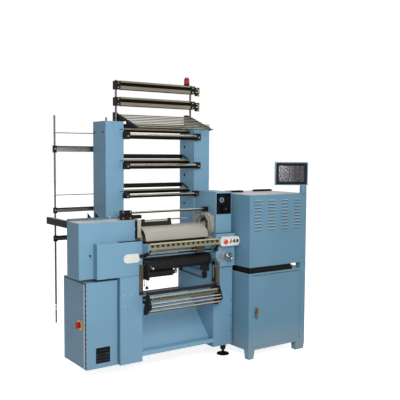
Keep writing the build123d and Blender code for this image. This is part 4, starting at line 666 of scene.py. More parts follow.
class KNIT_OT_finishes(bpy.types.Operator):
    """Makes the finishes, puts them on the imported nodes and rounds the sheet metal's folds"""
    bl_idname = "knit.finishes"
    bl_label = "Finishes"

    def execute(self, context):
        for make_group in (make_paint_group, make_dust_group, make_metal_group, make_grain_group):
            make_group()
        FINISHES.update(make_finishes())
        for finish, names in CAD_FINISHES.items():
            for name in names:
                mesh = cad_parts[name].data
                mesh.materials.clear()
                mesh.materials.append(FINISHES[finish])
        for name in ROUNDED:
            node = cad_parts[name]
            weld = node.modifiers.new("Joined corners", "WELD")
            weld.merge_threshold = 0.00002
            rounding = node.modifiers.new("Folded edges", "BEVEL")
            rounding.width = sizes().edge_round
            rounding.segments = 2
            rounding.limit_method = "ANGLE"
            rounding.angle_limit = FOLD_ANGLE
            rounding.use_clamp_overlap = True
        return {"FINISHED"}


class KNIT_OT_louvres(bpy.types.Operator):
    """Pressed hoods over the slots of the electronics box, and its black top vents"""
    bl_idname = "knit.louvres"
    bl_label = "Louvres"

    def execute(self, context):
        box_left, box_front = millimetres(corners("electronics_box")[0])[:2]
        rise, tall = sizes().louvre_rise / MM, sizes().louvre_height / MM
        wide = 76
        hoods, shades = bmesh.new(), bmesh.new()
        for column in range(4):
            left = box_left + 51 + 151 * column
            right = left + wide
            for row in range(10):
                sill = 1113 + 27.5 * row
                add_wedge(hoods, at(left, box_front - rise, sill), at(right, box_front, sill + tall), 0.8)
                add_blocks(
                    shades,
                    ((left + 1, box_front - rise * 0.8, sill - 1.5), (right - 1, box_front, sill + 0.2)),
                    ((left + 2, box_front - 0.8, sill - 8), (right - 2, box_front, sill)))
        # The hoods' paler blue is a painted highlight; the dark strips under them are painted shade
        place_piece("louvre_hoods", hoods, "louvre")
        place_piece("louvre_shades", shades, "shade")
        vents = bmesh.new()
        for vent_x, y in ((130, 190), (510, 235)):
            x = box_left + vent_x
            add_blocks(vents, ((x - 101, y - 24, 1414.3), (x + 101, y + 24, 1431), 3, 3))
            for slat in range(12):
                left = x - 91 + slat * 16
                add_blocks(vents, ((left, y - 18, 1430), (left + 6, y + 18, 1432.5), 0.8, 1))
        place_piece("top_vent_covers", vents, "plastic")
        return {"FINISHED"}


class KNIT_OT_cabinet_trim(bpy.types.Operator):
    """Vent grille, seal and clips of the cabinet, seam of its door with a painted highlight on its hem, and
    sheets of painted shade on the pan
    """
    bl_idname = "knit.cabinet_trim"
    bl_label = "Cabinet and pan trim"

    def execute(self, context):
        left, right, bottom, top, face = -194.5, -73.5, 138.5, 262.5, 32
        grille = bmesh.new()
        add_blocks(grille, ((left, face + 0.5, bottom), (right, face + 2.5, top)))
        for slat in range(15):
            z = bottom + 1.5 + slat * 8.2
            add_wedge(grille, at(left, face - 1.2, z), at(right, face + 1, z + 7), 1.4)
        for x in (left, (left + right) / 2 - 2, right - 4):
            add_blocks(grille, ((x, face - 1.6, bottom), (x + 4, face + 0.4, top), 0.5, 1))
        place_piece("vent_grille", grille, "plastic")
        side = CABINET_SIDE
        place_blocks("door_seal", "rubber", ((side + 4, 36.5, 113), (side + 18, 54.5, 762), 3, 3))
        place_blocks("seal_flange", "black", ((side - 0.7, 34, 108), (side + 0.2, 55.6, 768), 0.4, 1))
        place_blocks("seal_clips", "white", *(
            ((side - 1.3, 36, z), (side - 0.4, 41, z + 13), 0.4, 1) for z in range(132, 761, 37)))
        # Pale strip on the door's folded hem: painted highlight
        place_blocks("door_hem_highlight", "hem", ((side - 1.2, 57, 106), (side + 1, 80, 760), 1, 2),
                     body="cabinet_door")
        place_blocks("door_seam", "black", ((side - 0.9, 58, 762), (side + 0.5, 432, 771)),
                     body="cabinet_door")
        # Dark grey sheet on the pan's flat top: painted shade
        place_blocks("shelf_shade_sheet", "mat", ((LEFT_FACE + 4, 412, 535.2), (RIGHT_FACE - 4, 556, 537), 0.5, 1))
        # Dark blue sheet over the pan's floor: painted shade
        place_blocks("pan_floor_shade", "floor_blue",
                     ((LEFT_FACE + 2, 9, 145.2), (RIGHT_FACE - 2, 73, 147), 0.5, 1))
        return {"FINISHED"}


class KNIT_OT_main_switch(bpy.types.Operator):
    """Yellow plate and red turning handle of the main switch"""
    bl_idname = "knit.main_switch"
    bl_label = "Main switch"

    def execute(self, context):
        side, y, z, half = CABINET_SIDE, 145, 432, 37
        bm = bmesh.new()
        plate = add_block(bm, at(side - 4, y - half, z - half), at(side - 0.2, y + half, z + half))
        short = [edge for edge in edges_of(plate) if edge.calc_length() < half * MM]
        round_edges(bm, short, 12, 5)
        place_piece("switch_plate", bm, "yellow", "cabinet_door")
        bm = bmesh.new()
        add_turned(bm, at(side, y, z), LEFTWARDS, (
            (-16, 0), (-16, 5.9), (4.8, 5.9), (4.8, 25.8), (9, 25.8), (12, 23.5), (12, 0)))
        add_blocks(bm, ((side - 36, y - 7, z - 25), (side - 11.5, y + 7, z + 25), 3, 3))
        place_piece("switch_knob", bm, "knob_red", "main_switch", ("switch_handle",))
        return {"FINISHED"}


class KNIT_OT_screws(bpy.types.Operator):
    """Screws and plugs, the gearbox's lock, and the hinge of the panel under the handwheel"""
    bl_idname = "knit.screws"
    bl_label = "Screws"

    def execute(self, context):
        painted, dark, bright, hinges = (bmesh.new() for _ in range(4))
        # Pale screw heads: their colour is partly a painted glint
        add_screws(painted, TOWARDS, 4, [(x, 0, z) for x in (41, 95) for z in (650, 562)])
        add_screws(painted, LEFTWARDS, 8, [(-313.25, 88, 917)])
        add_screws(painted, LEFTWARDS, 4, [(LEFT_FACE, y, z) for y, z in (
            (-12, 632), (-38, 638), (-12, 598), (-37, 604))])
        add_screws(painted, TOWARDS, 5, [(x, 294, 1240) for x in (60, 118, 176)])
        place_piece("pale_screws", painted, "hem")
        add_screws(dark, TOWARDS, 5, [(x, 308, z) for z in (1954, 1699, 1446) for x in (168, 186)])
        add_turned(dark, at(-227, 59, 978), TOWARDS, (
            (0, 0), (0, 8), (3, 8), (4, 6.5), (4, 3), (2, 2.2), (2, 0)), 24)
        add_screws(dark, TOWARDS, 3, [(-224, 59, 962)])
        add_plugs(dark, LEFTWARDS, 13, [(RIGHT_FACE, 457, z) for z in (1820, 1568, 1405)])
        add_plugs(dark, LEFTWARDS, 10, [(35, y, 1931) for y in (355, 512)])
        place_piece("dark_screws", dark, "black")
        add_screws(bright, TOWARDS, 3.6, [(188, -10, z) for z in (868, 838, 700, 668, 648)])
        add_screws(bright, TOWARDS, 3.6, [(916, -40, z) for z in (830, 700, 668, 648)])
        add_screws(bright, LEFTWARDS, 2.4, [(168, y, z) for y in (60, 240) for z in (1110, 1215)])
        place_piece("bright_screws", bright, "chrome")
        for z in (480, 346, 213):
            add_turned(hinges, at(1086, -1.5, z), UPWARDS, bar(2.6, 16), 12)
        add_blocks(hinges, ((1085.4, -0.4, 120), (1086.6, 0.4, 560)))
        place_piece("panel_hinges", hinges, "dark_steel")
        return {"FINISHED"}


class KNIT_OT_sheet_trim(bpy.types.Operator):
    """Black strips of painted shade in the seams and on the ledges between sheets, the column's foot
    flange, the gearbox's webs and the beam's cap
    """
    bl_idname = "knit.sheet_trim"
    bl_label = "Sheet trim"

    def execute(self, context):
        # Black strips in the gaps and on the ledges: painted shade
        place_blocks("seam_shades", "black",
                     ((165.2, 26, 1092), (167.8, 272, 1228)),
                     ((2, 2, 1068), (199, 58, 1070.5), 1, 2),
                     ((901, -29, 1082), (1099, -0.5, 1085), 1, 2),
                     ((3, -0.4, 796.6), (197, 1, 798.6)),
                     ((1148, -212.5, 723), (1703, -211.5, 727)))
        place_blocks("head_apron", "blue",
                     ((166, 100, 940), (246, 104, 1072), 1, 1),
                     ((36, 294, GEARBOX_TOP), (199, 308.5, GEARBOX_TOP + 20), 1, 1))
        place_blocks("head_web", "cream", ((198, 134, 1034), (334, 138, 1164), 1, 1))
        place_blocks("beam_cap", "cream",
                     ((-319, 279, GEARBOX_TOP - 0.4), (-293, 686, GEARBOX_TOP + 1), 0.4, 1))
        return {"FINISHED"}


class KNIT_OT_plate(bpy.types.Operator):
    """Blank oval plate with a rim, on the gearbox's cover"""
    bl_idname = "knit.plate"
    bl_label = "Blank plate"

    def execute(self, context):
        radius, half_straight, thick = 35.5, 39, 2.2
        bm = bmesh.new()
        plate = bmesh.ops.create_circle(bm, cap_ends=True, segments=50, radius=radius * MM)["verts"]
        for vert in plate:
            vert.co.x += math.copysign(half_straight * MM, vert.co.x)
        onto_cover = Matrix.Translation(at(104, 0, 938)) @ Matrix.Rotation(math.pi / 2, 4, "X")
        bmesh.ops.transform(bm, matrix=onto_cover, verts=plate)
        raised = bmesh.ops.extrude_face_region(bm, geom=bm.faces[:])["geom"]
        front = [item for item in raised if isinstance(item, bmesh.types.BMFace)]
        bmesh.ops.translate(bm, vec=TOWARDS * thick * MM,
                            verts=[item for item in raised if isinstance(item, bmesh.types.BMVert)])
        for inset, sink in ((0.8, 0), (3.4, 0), (0.8, -0.7)):
            bmesh.ops.inset_region(bm, faces=front, thickness=inset * MM, depth=sink * MM)
        place_piece("blank_plate", bm, "white")
        return {"FINISHED"}


class KNIT_OT_feet(bpy.types.Operator):
    """Ribbed levelling pads and threaded stems with their nuts"""
    bl_idname = "knit.feet"
    bl_label = "Levelling feet"

    def execute(self, context):
        bore, pitch, root, crest, length = 12.1, 2.5, 10.6, 11.9, 106
        thread = [(0, 0)]
        for turn in range(42):
            thread += [(turn * pitch, root), (turn * pitch + 1.2, crest)]
        thread += [(length, root), (length, 0)]
        pads, stems = bmesh.new(), bmesh.new()
        for x, y in ((100, 370), (100, 498), (1050, 62), (1050, 498)):
            add_turned(pads, at(x, y, 0), UPWARDS, (
                (0, 0), (0, 53), (2, 55), (7, 55), (9, 52), (12, 50), (17, 30), (20, 22), (22, 19),
                (22, 12.2), (12, 12.2), (12, 0)))
            add_turned(stems, at(x, y, 12), UPWARDS, thread, 20)
            for z, radius, thick in ((74, 27, 25.8), (68, 30, 5), (46, 25, 20)):
                add_turned(stems, at(x, y, z), UPWARDS, (
                    (0, bore), (0, radius - 2), (1.2, radius), (thick - 1.2, radius), (thick, radius - 2),
                    (thick, bore), (0, bore)), 6)
        place_piece("levelling_pads", pads, "plastic", stands_for=("foot_pads",))
        place_piece("levelling_stems", stems, "dark_steel", stands_for=("foot_stems",))
        return {"FINISHED"}


class KNIT_OT_controls(bpy.types.Operator):
    """Emergency stop and push buttons with their bezels"""
    bl_idname = "knit.controls"
    bl_label = "Push buttons"

    def execute(self, context):
        box_front = corners("control_box")[0].y
        middles = {name: middle_of(name + "_button", y=box_front)
                   for name in ("estop", "start", "jog", "stop")}
        mushroom = ((-11, 0), (-11, 10.5), (8, 10.5), (8, 18.5), (10, 20), (15, 20), (19, 17), (21.2, 11),
                    (22, 0))
        cap = ((-11, 0), (-11, 10), (4, 10), (6.2, 9.2), (5.5, 8), (5, 0))
        place_turned("estop_mushroom", "red", middles["estop"], TOWARDS, mushroom, body="estop",
                     stands_for=("estop_button",))
        for name, finish in (("start", "amber"), ("jog", "green"), ("stop", "dark_red")):
            place_turned(name + "_button_cap", finish, middles[name], TOWARDS, cap, body=name,
                         stands_for=(name + "_button",))
        bm = bmesh.new()
        for name, middle in middles.items():
            proud = 1.2 if name == "estop" else 3
            add_turned(bm, middle, TOWARDS, (
                (-0.5, 11.5), (proud - 0.7, 11.5), (proud, 12.3), (proud, 14.4), (proud - 0.7, 15.4),
                (-0.5, 15.4), (-0.5, 11.5)), 32)
        place_piece("button_bezels", bm, "chrome")
        return {"FINISHED"}


class KNIT_OT_handwheel(bpy.types.Operator):
    """Handwheel, and the index disc beside it with its ring of marks"""
    bl_idname = "knit.handwheel"
    bl_label = "Handwheel and disc"

    def execute(self, context):
        hub = middle_of("handwheel", y=at(0, -30, 0).y)
        rim_middle, rim_reach, rim_radius = 31.0, 31.1, 5.8
        rim = [(rim_middle + rim_radius * math.sin(turn), rim_reach + rim_radius * math.cos(turn))
               for turn in turns(2 * math.pi, 16)]
        boss = ((-30, 0), (-30, 7.8), (0.2, 7.8), (0.2, 12), (16, 11.5), (30, 12.5), (35, 11), (36.5, 6),
                (36.9, 0))
        web = ((25, 10), (27, 18), (28, 30), (31, 30), (30, 18), (29, 10), (25, 10))
        place_turned("handwheel_turned", "chrome", hub, TOWARDS, rim, boss, web, body="handwheel",
                     stands_for=("handwheel",))
        bm = bmesh.new()
        disc = at(969, -30, 892)
        add_turned(bm, disc, TOWARDS, (
            (0, 0), (0, 38.6), (9, 38.6), (10.8, 37), (10.8, 32), (10.3, 31), (10.3, 14), (12.5, 12),
            (12.5, 0)), 64)
        for turn in turns(2 * math.pi, 36)[:-1]:
            mark = add_block(bm, at(968.5, -41.4, 924.4), at(969.5, -40.6, 928.2))
            bmesh.ops.rotate(bm, cent=disc, matrix=Matrix.Rotation(turn, 3, "Y"), verts=mark)
        place_piece("index_disc_turned", bm, "speckled")
        return {"FINISHED"}


class KNIT_OT_window(bpy.types.Operator):
    """Black sheets of painted shade in the window behind the change gears, the gears' nuts and the upper
    gear's blue collar
    """
    bl_idname = "knit.window"
    bl_label = "Gear window"

    def execute(self, context):
        left, right, bottom, top = 922.2, 1077.8, 1244.2, 1423.8
        thick, front, back = 0.8, 1, 39.8
        place_blocks("gear_window_shade", "black",
                     ((left, back - thick, bottom), (right, back, top)),
                     ((left, front, bottom), (left + thick, back, top)),
                     ((right - thick, front, bottom), (right, back, top)),
                     ((left, front, bottom), (right, back, bottom + thick)),
                     ((left, front, top - thick), (right, back, top)))
        for name, size in (("upper_gear", 20), ("lower_gear", 13)):
            nut = (0, 0), (0, size * 0.55), (4, size * 0.5), (6, 0)
            place_turned(name + "_nut", "chrome", middle_of(name, y=corners(name)[0].y), TOWARDS, nut,
                         steps=6, body=name)
        seat = middle_of("upper_gear", y=corners("upper_gear")[0].y + 11 * MM)
        collar = (0, 14), (0, 22), (11.6, 22), (12.4, 21), (12.4, 15), (11.6, 14), (0, 14)
        place_turned("gear_collar", "blue", seat, TOWARDS, collar, body="upper_gear")
        return {"FINISHED"}


class KNIT_OT_ring(bpy.types.Operator):
    """Ring housing with grooves and bolts, and the head's bolts"""
    bl_idname = "knit.ring"
    bl_label = "Ring housing"

    def execute(self, context):
        centre = middle_of("ring_housing", x=at(RING_LEFT, 0, 0).x)
        reach = (corners("ring_housing")[1].x - centre.x) / MM
        cover_end = 800 - RING_LEFT
        bm = bmesh.new()
        add_turned(bm, centre, RIGHTWARDS, (
            (30, 0), (30, 30), (19, 34), (19, 62), (4, 66), (0, 70), (0, 90), (3, 95.5), (10, 96.5),
            (12, 92), (16, 92), (18, 100), (24, 101.8), (50, 101.8), (56, 98), (58, 90), (58, 40),
            (60, 33.5), (reach, 33), (reach, 0)), 72)
        add_turned(bm, centre, RIGHTWARDS, ((cover_end, 0), (cover_end, 22), (30, 22)), 40)
        place_piece("ring_turned", bm, "ring", stands_for=("ring_housing",))
        # Black in the outer groove and the black disc in the hub's recess: painted shade
        place_turned("ring_grooves", "black", centre, RIGHTWARDS, tube(91, 94.5, 12.4, 15.6),
                     tube(36, 60, 18.4, 18.9), tube(71, 75, -0.6, 0.4), steps=72)
        bm = bmesh.new()
        bolt_circle = 80
        x, y, z = millimetres(centre)
        add_screws(bm, LEFTWARDS, 4.5, [
            (x, y + bolt_circle * math.cos(turn), z + bolt_circle * math.sin(turn))
            for turn in (math.pi * (2 * bolt + 1) / 8 for bolt in range(8))])
        add_hex_bolts(bm, TOWARDS, 5, [(901, 24, z) for z in (1115, 1205)])
        place_piece("head_bolts", bm, "dark_steel")
        return {"FINISHED"}


class KNIT_OT_rack_bolts(bpy.types.Operator):
    """Bolts in the clamps and brackets, and the pale hooks beside the top bars"""
    bl_idname = "knit.rack_bolts"
    bl_label = "Rack bolts"

    def execute(self, context):
        bolts, hooks = bmesh.new(), bmesh.new()
        for bottom in GUIDE_BAR_BOTTOMS:
            add_hex_bolts(bolts, TOWARDS, 5.5, [
                (x, 379, bottom + rise) for x in TOP_POSTS for rise in (18, 58)])
            add_hook(hooks, at(976, 377, bottom + 36), TOWARDS, 15, 3, math.radians(250))
            add_hook(hooks, at(990, 377, bottom + 4), TOWARDS, 9, 3, math.radians(200))
        for z, y, right in ((1901, 245, 910), (1653, 247, 910), (1408, 253, 897)):
            add_hex_bolts(bolts, TOWARDS, 6, [(208, y, z), (right, y, z)])
        add_hex_bolts(bolts, TOWARDS, 5, [
            (x, 595.5, (low + high) / 2) for low, high in REAR_BAR_SPANS for x in REAR_POSTS])
        add_hex_bolts(bolts, TOWARDS, 5, [(x, 110, z) for x in (88, 152) for z in (1243, 1292)])
        place_piece("rack_bolts", bolts, "steel")
        place_piece("rack_hooks", hooks, "pale")
        return {"FINISHED"}


class KNIT_OT_combs(bpy.types.Operator):
    """Black notch fills of painted shade, pins and lips of the comb bar, and the pierced strip of the
    take-off unit
    """
    bl_idname = "knit.combs"
    bl_label = "Combs"

    def execute(self, context):
        left, right, teeth = LEFT_FACE + 12, RIGHT_FACE - 12, 14
        notch_low, notch_high, wide_half, narrow_half = 1022, 1045, 23, 14
        pitch = (right - left) / teeth
        notch_shades, pins = bmesh.new(), bmesh.new()
        for tooth in range(teeth):
            x = left + (tooth + 0.5) * pitch
            middle = at(x, 0, (notch_low + notch_high) / 2)
            # Dark trapezoids in the comb's notches: painted shade
            for vert in add_block(notch_shades, at(x - wide_half, COMB_FRONT, notch_low),
                                  at(x + wide_half, -87, notch_high)):
                if vert.co.z < middle.z:
                    vert.co.x = middle.x + math.copysign(narrow_half * MM, vert.co.x - middle.x)
            for side in (-0.25, 0.25):
                add_turned(pins, at(x + side * pitch, COMB_FRONT, 1026), UPWARDS,
                           ((0, 0), (0, 1.5), (14, 1.5), (17, 0)), 8)
        place_piece("comb_notch_shades", notch_shades, "black")
        place_piece("comb_pins", pins, "brass")
        place_blocks("comb_lips", "lip",
                     ((left, COMB_FRONT - 0.3, notch_high), (right, -87, 1056), 0.6, 1),
                     ((left, -82.6, 622), (right, -81, 630), 0.5, 1))
        place_blocks("takeoff_strip", "khaki", ((left, -82.4, 593), (right, -81, 622), 0.4, 1))
        slots, points = bmesh.new(), bmesh.new()
        for slot in range(28):
            x = left + 10 + slot * 24
            add_blocks(slots, ((x, -83, 606), (x + 17, -81.5, 621), 0.3, 1))
            add_turned(points, at(x + 20.5, -83.2, 611), UPWARDS, ((0, 0), (0, 1.2), (8, 1.2), (10, 0)), 6)
        place_piece("takeoff_slots", slots, "black")
        place_piece("takeoff_points", points, "white")
        return {"FINISHED"}


class KNIT_OT_hangers(bpy.types.Operator):
    """Weighted pull rod under the press roller, the chain with its bob, and the rollers' fittings"""
    bl_idname = "knit.hangers"
    bl_label = "Hanging weights"

    def execute(self, context):
        bm = bmesh.new()
        add_blocks(bm, ((203, 60, 742), (211, 72, 770), 1, 1))
        add_turned(bm, at(205, 66, 748), RIGHTWARDS, ((0, 0), (0, 3), (78, 3), (79, 2), (79, 0)), 16)
        add_turned(bm, at(278, 66, 664), UPWARDS,
                   ((0, 0), (0, 12), (3, 14), (14, 13), (22, 7), (26, 2.6), (84, 2.6), (86, 0)), 20)
        add_turned(bm, at(254, 66, 690), UPWARDS, (
            (0, 0), (0, 4), (6, 6), (10, 2.4), (60, 2.4), (60, 0)), 16)
        place_piece("pull_rod", bm, "dark_steel")
        bm = bmesh.new()
        shaft = at(901, -15, 838)
        add_turned(bm, shaft, LEFTWARDS, ((0, 0), (0, 6), (12, 6), (12, 9), (24, 9), (24, 0)), 20)
        add_turned(bm, shaft + LEFTWARDS * 14 * MM, LEFTWARDS, tube(6, 17, 0, 6), 24)
        for turn in turns(2 * math.pi, 12)[:-1]:
            tooth = add_block(bm, at(882, -16.8, 854), at(886, -13.2, 858))
            bmesh.ops.rotate(bm, cent=shaft, matrix=Matrix.Rotation(turn, 3, "X"), verts=tooth)
        for y in (-34, 4):
            for link in range(13):
                z = 826 - link * 10
                half = 4 if link % 2 else 2.2
                add_blocks(bm, ((884 - half, y - 3, z), (884 + half, y + 3, z + 11), 0.8, 1))
        add_blocks(bm, ((881, -38, 700), (887, 8, 707), 1, 1))
        add_turned(bm, at(884, -15, 676), UPWARDS, (
            (0, 0), (0, 12), (3, 13), (20, 13), (25, 5), (26, 0)), 24)
        place_piece("chain_take_up", bm, "dark_steel")
        bm = bmesh.new()
        add_turned(bm, at(535, 66, 783.2), RIGHTWARDS, ((0, 0), (0, 17), (9, 17), (11, 14), (11, 0)), 32)
        add_blocks(bm, ((546, 56, 770), (566, 76, 812), 3, 2), ((889, -36, 852), (899, 4, 866), 2, 2))
        add_hex_bolts(bm, LEFTWARDS, 7, [(899, -22, 846), (899, -22, 872)])
        place_piece("roller_fittings", bm, "chrome")
        return {"FINISHED"}


class KNIT_OT_thread_guides(bpy.types.Operator):
    """Blocks, bolts and pins of the thread guides on the gearbox"""
    bl_idname = "knit.thread_guides"
    bl_label = "Thread guides"

    def execute(self, context):
        top = GEARBOX_TOP
        bm = bmesh.new()
        add_blocks(bm, ((104, 152, top), (160, 200, top + 12), 2, 2),
                   ((150, 206, top), (192, 262, top + 16), 2, 2),
                   ((168, 112, top + 6), (196, 150, top + 24), 2, 2),
                   ((160, 168, top), (186, 196, top + 34), 2, 2))
        add_hex_bolts(bm, UPWARDS, 6, [
            (118, 164, top + 12), (168, 222, top + 16), (178, 248, top + 16), (172, 182, top + 34)])
        place_piece("thread_guides", bm, "black")
        bm = bmesh.new()
        for x, y in ((112, 186), (132, 174), (150, 186), (134, 226)):
            add_turned(bm, at(x, y, top), UPWARDS, ((0, 0), (0, 4), (22, 4), (23, 8), (28, 8), (29, 0)), 20)
        add_turned(bm, at(165, 140, top + 32), RIGHTWARDS, ((0, 0), (0, 6), (28, 6), (30, 4), (30, 0)), 24)
        place_piece("thread_pins", bm, "chrome")
        return {"FINISHED"}


class KNIT_OT_cross_rails(bpy.types.Operator):
    """Rails, rods, bracket and bolts across the opening under the comb, and the take-up gear"""
    bl_idname = "knit.cross_rails"
    bl_label = "Cross rails"

    def execute(self, context):
        sunk = 0.4
        left, right = LEFT_FACE - sunk, RIGHT_FACE + sunk
        # Rails in the lighter blue: painted light on rails that lie in shade
        place_blocks("cross_rails", "pan_blue",
                     ((left, 40, 956), (right, 56, 980), 1, 1),
                     ((left, 40, 926), (right, 52, 938), 1, 1))
        place_blocks("comb_bracket", "blue",
                     ((200, -91.5, 986), (206, 30, 1046), 1, 1),
                     ((205, -91.5, 1004), (213, -81, 1046), 1, 1))
        bm = bmesh.new()
        add_turned(bm, at(left, 40, 952), RIGHTWARDS, bar(4, right - left), 16)
        add_hex_bolts(bm, TOWARDS, 7, [(770, 40, 968), (792, 40, 962), (806, 40, 946)])
        add_hex_bolts(bm, LEFTWARDS, 4, [(LEFT_FACE, y, z) for y in (-62, -22) for z in (1030, 1004)])
        place_piece("cross_rod", bm, "steel")
        bm = bmesh.new()
        add_turned(bm, at(left, 36, 943), RIGHTWARDS, bar(5, right - left), 16)
        spring = [at(x, 60, z) for x, z in ((228, 1138), (241, 1106), (255, 1094), (264, 1066))]
        for start, end in zip(spring, spring[1:]):
            add_turned(bm, start, end - start, bar(3, (end - start).length / MM), 10)
        place_piece("dark_rods", bm, "black")
        bm = bmesh.new()
        add_turned(bm, at(868, -45, 862), RIGHTWARDS, (
            (0, 0), (0, 10), (6, 10), (6, 16), (14, 16), (14, 11), (32.5, 11), (32.5, 0)), 28)
        add_turned(bm, at(884, -66, 846), RIGHTWARDS, (
            (0, 0), (0, 9), (8, 9), (8, 6), (16.5, 6), (16.5, 0)), 20)
        place_piece("take_up_gear", bm, "khaki")
        return {"FINISHED"}


class KNIT_OT_beacon(bpy.types.Operator):
    """Rounded beacon lens with its ribs"""
    bl_idname = "knit.beacon"
    bl_label = "Beacon"

    def execute(self, context):
        low, high = corners("beacon_dome")
        tall = (high.z - low.z) / MM
        radius, crown = 23.8, 26
        profile = [(0, 0), (0, radius)]
        for rib in range(5):
            z = 3 + rib * 5.5
            profile += [(z, radius), (z + 1.4, radius - 1), (z + 2.8, radius)]
        profile += [(tall - crown + crown * math.sin(turn), radius * math.cos(turn))
                    for turn in turns(math.pi / 2, 8)]
        place_turned("beacon_lens", "dome", middle_of("beacon_dome", z=low.z), UPWARDS, profile,
                     stands_for=("beacon_dome",))
        return {"FINISHED"}


class KNIT_OT_panel(bpy.types.Operator):
    """Operator panel: black bezel and screen under glass"""
    bl_idname = "knit.panel"
    bl_label = "Operator panel"

    def execute(self, context):
        low, high = corners("hmi_screen")
        turn = math.radians(35)
        facing = Vector((-math.sin(turn), -math.cos(turn), 0))
        along = Vector((math.cos(turn), -math.sin(turn), 0))
        width, tall, border = 274 * MM, high.z - low.z, 24 * MM
        front = Matrix.Translation(middle_of("hmi_screen") + facing * 2 * MM)
        onto_panel = front @ Matrix((along, UPWARDS, facing)).transposed().to_4x4()
        bm = bmesh.new()
        add_block(bm, Vector((-width / 2, -tall / 2, -4 * MM)), Vector((width / 2, tall / 2, -0.6 * MM)))
        sheet = bmesh.ops.create_grid(bm, x_segments=1, y_segments=1, size=0.5)["verts"]
        bmesh.ops.scale(bm, vec=(width, tall, 1), verts=sheet)
        glazed = [face for face in bm.faces if all(vert in sheet for vert in face.verts)]
        bmesh.ops.inset_region(bm, faces=glazed, thickness=border, depth=0.0)
        bmesh.ops.inset_region(bm, faces=glazed, thickness=1.5 * MM, depth=-1.5 * MM)
        bmesh.ops.delete(bm, geom=glazed, context="FACES_ONLY")
        bmesh.ops.transform(bm, matrix=onto_panel, verts=bm.verts)
        place_piece("panel_bezel", bm, "plastic", "operator_panel", ("hmi_screen",))
        bm = bmesh.new()
        pane = bmesh.ops.create_grid(bm, x_segments=8, y_segments=6, size=0.5)["verts"]
        layer = bm.loops.layers.uv.verify()
        for face in bm.faces:
            for loop in face.loops:
                loop[layer].uv = (loop.vert.co.x + 0.5, loop.vert.co.y + 0.5)
        bmesh.ops.scale(bm, vec=(width - 2 * border, tall - 2 * border, 1), verts=pane)
        bmesh.ops.translate(bm, vec=(0, 0, -0.4 * MM), verts=pane)
        bmesh.ops.transform(bm, matrix=onto_panel, verts=pane)
        glass = place_piece("panel_glass", bm, "screen", "operator_panel")
        if glass.data.polygons[0].normal.dot(facing) < 0:
            glass.data.flip_normals()
        return {"FINISHED"}


def seen_share(tree, mirrored):
    """One for what the camera sees, and the given share for what shiny parts mirror."""
    path = tree.nodes.new("ShaderNodeLightPath").outputs
    glossy = add_math(tree, "MULTIPLY", path["Is Glossy Ray"], mirrored)
    return add_math(tree, "MAXIMUM", path["Is Camera Ray"], glossy)


def make_floor_finish():
    """Pale floor that the camera and shiny parts see as white, with the machine's shadow kept."""
    material = bpy.data.materials.new("Floor")
    material.use_nodes = True
    tree = material.node_tree
    shader = set_sockets(tree.nodes["Principled BSDF"], Roughness=0.8, Emission_Color=(1, 1, 1, 1))
    grit = add_range(tree, add_noise(tree, object_place(tree), 3.0, 8.0), 0.3, 0.7, 0.80, 0.84)
    join = tree.nodes.new("ShaderNodeCombineColor")
    for channel in ("Red", "Green", "Blue"):
        tree.links.new(grit, join.inputs[channel])
    tree.links.new(join.outputs["Color"], shader.inputs["Base Color"])
    tree.links.new(add_range(tree, seen_share(tree, 0.15), 0.0, 1.0, 0.0, 0.84),
                   shader.inputs["Emission Strength"])
    return material


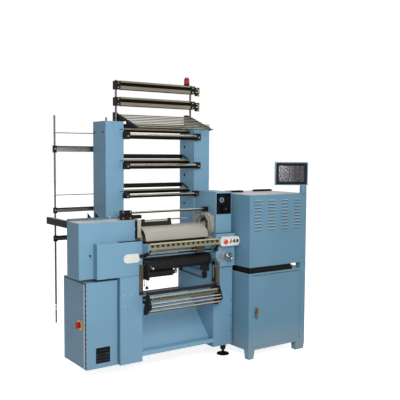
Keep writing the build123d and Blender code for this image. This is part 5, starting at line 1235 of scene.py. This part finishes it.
class KNIT_OT_stage(bpy.types.Operator):
    """Pale floor and backdrop, soft lights and the camera"""
    bl_idname = "knit.stage"
    bl_label = "Stage"

    def execute(self, context):
        scene = context.scene
        scene.view_settings.view_transform = "Standard"
        bm = bmesh.new()
        bmesh.ops.create_grid(bm, x_segments=1, y_segments=1, size=30)
        floor_mesh = bpy.data.meshes.new("floor")
        bm.to_mesh(floor_mesh)
        bm.free()
        floor_mesh.materials.append(make_floor_finish())
        floor = bpy.data.objects.new("floor", floor_mesh)
        scene.collection.objects.link(floor)
        scene.world = bpy.data.worlds.new("Studio")
        scene.world.use_nodes = True
        tree = scene.world.node_tree
        background = set_sockets(tree.nodes["Background"], Color=(1, 1, 1, 1))
        through = tree.nodes.new("ShaderNodeLightPath").outputs["Is Transmission Ray"]
        seen = add_math(tree, "MAXIMUM", seen_share(tree, 0.25), through)
        tree.links.new(add_range(tree, seen, 0.0, 1.0, 0.38, 1.0), background.inputs["Strength"])
        lit_place = Vector((0, 0, 1))
        for name, place, size, power in (
            ("key", Vector((-0.95, -2.5, 2.1)), 1.2, 50.0),
            ("fill", Vector((4.2, -3.2, 2.2)), 2.5, 20.0),
            ("top", Vector((0.4, 0.4, 5.0)), 3.0, 65.0),
        ):
            light = bpy.data.lights.new(name, "AREA")
            light.size = size
            light.energy = power
            lamp = bpy.data.objects.new(name, light)
            lamp.location = place
            lamp.rotation_euler = (lit_place - place).to_track_quat("-Z", "Y").to_euler()
            scene.collection.objects.link(lamp)
        forward = Vector((math.sin(CAMERA_HEADING) * math.cos(CAMERA_TILT),
                          math.cos(CAMERA_HEADING) * math.cos(CAMERA_TILT), -math.sin(CAMERA_TILT)))
        level = forward.cross(UPWARDS).normalized()
        upright = level.cross(forward)
        right = level * math.cos(CAMERA_ROLL) + upright * math.sin(CAMERA_ROLL)
        up = upright * math.cos(CAMERA_ROLL) - level * math.sin(CAMERA_ROLL)
        lens = bpy.data.cameras.new("camera")
        lens.sensor_width = CAMERA_SENSOR
        lens.lens = CAMERA_LENS
        camera = bpy.data.objects.new("camera", lens)
        scene.collection.objects.link(camera)
        turn = Matrix((right, up, -forward)).transposed().to_4x4()
        camera.matrix_world = Matrix.Translation(at(*CAMERA_PLACE)) @ turn
        scene.camera = camera
        return {"FINISHED"}


class KNIT_PT_sidebar(bpy.types.Panel):
    """Settings and steps of the knitting machine"""
    bl_idname = "KNIT_PT_sidebar"
    bl_label = "Knitting Machine"
    bl_space_type = "VIEW_3D"
    bl_region_type = "UI"
    bl_category = "Knitting Machine"

    def draw(self, context):
        layout = self.layout
        for settings in (context.scene.machine_sizes, context.scene.machine_colours):
            box = layout.box()
            for name in settings.__annotations__:
                box.prop(settings, name)
        for step in STEPS:
            layout.operator(step.bl_idname)


STEPS = (KNIT_OT_finishes, KNIT_OT_louvres, KNIT_OT_cabinet_trim, KNIT_OT_main_switch, KNIT_OT_screws,
         KNIT_OT_sheet_trim, KNIT_OT_plate, KNIT_OT_feet, KNIT_OT_controls, KNIT_OT_handwheel,
         KNIT_OT_window, KNIT_OT_ring, KNIT_OT_rack_bolts, KNIT_OT_combs, KNIT_OT_hangers,
         KNIT_OT_thread_guides, KNIT_OT_cross_rails, KNIT_OT_beacon, KNIT_OT_panel, KNIT_OT_stage)
CLASSES = (MachineSizes, MachineColours, *STEPS, KNIT_PT_sidebar)


def register():
    for item in CLASSES:
        bpy.utils.register_class(item)
    bpy.types.Scene.machine_sizes = PointerProperty(type=MachineSizes)
    bpy.types.Scene.machine_colours = PointerProperty(type=MachineColours)


def unregister():
    del bpy.types.Scene.machine_colours
    del bpy.types.Scene.machine_sizes
    for item in reversed(CLASSES):
        bpy.utils.unregister_class(item)


def main():
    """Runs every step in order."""
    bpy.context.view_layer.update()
    register()
    for step in STEPS:
        group, name = step.bl_idname.split(".")
        getattr(getattr(bpy.ops, group), name)()


if __name__ == "__main__":
    main()
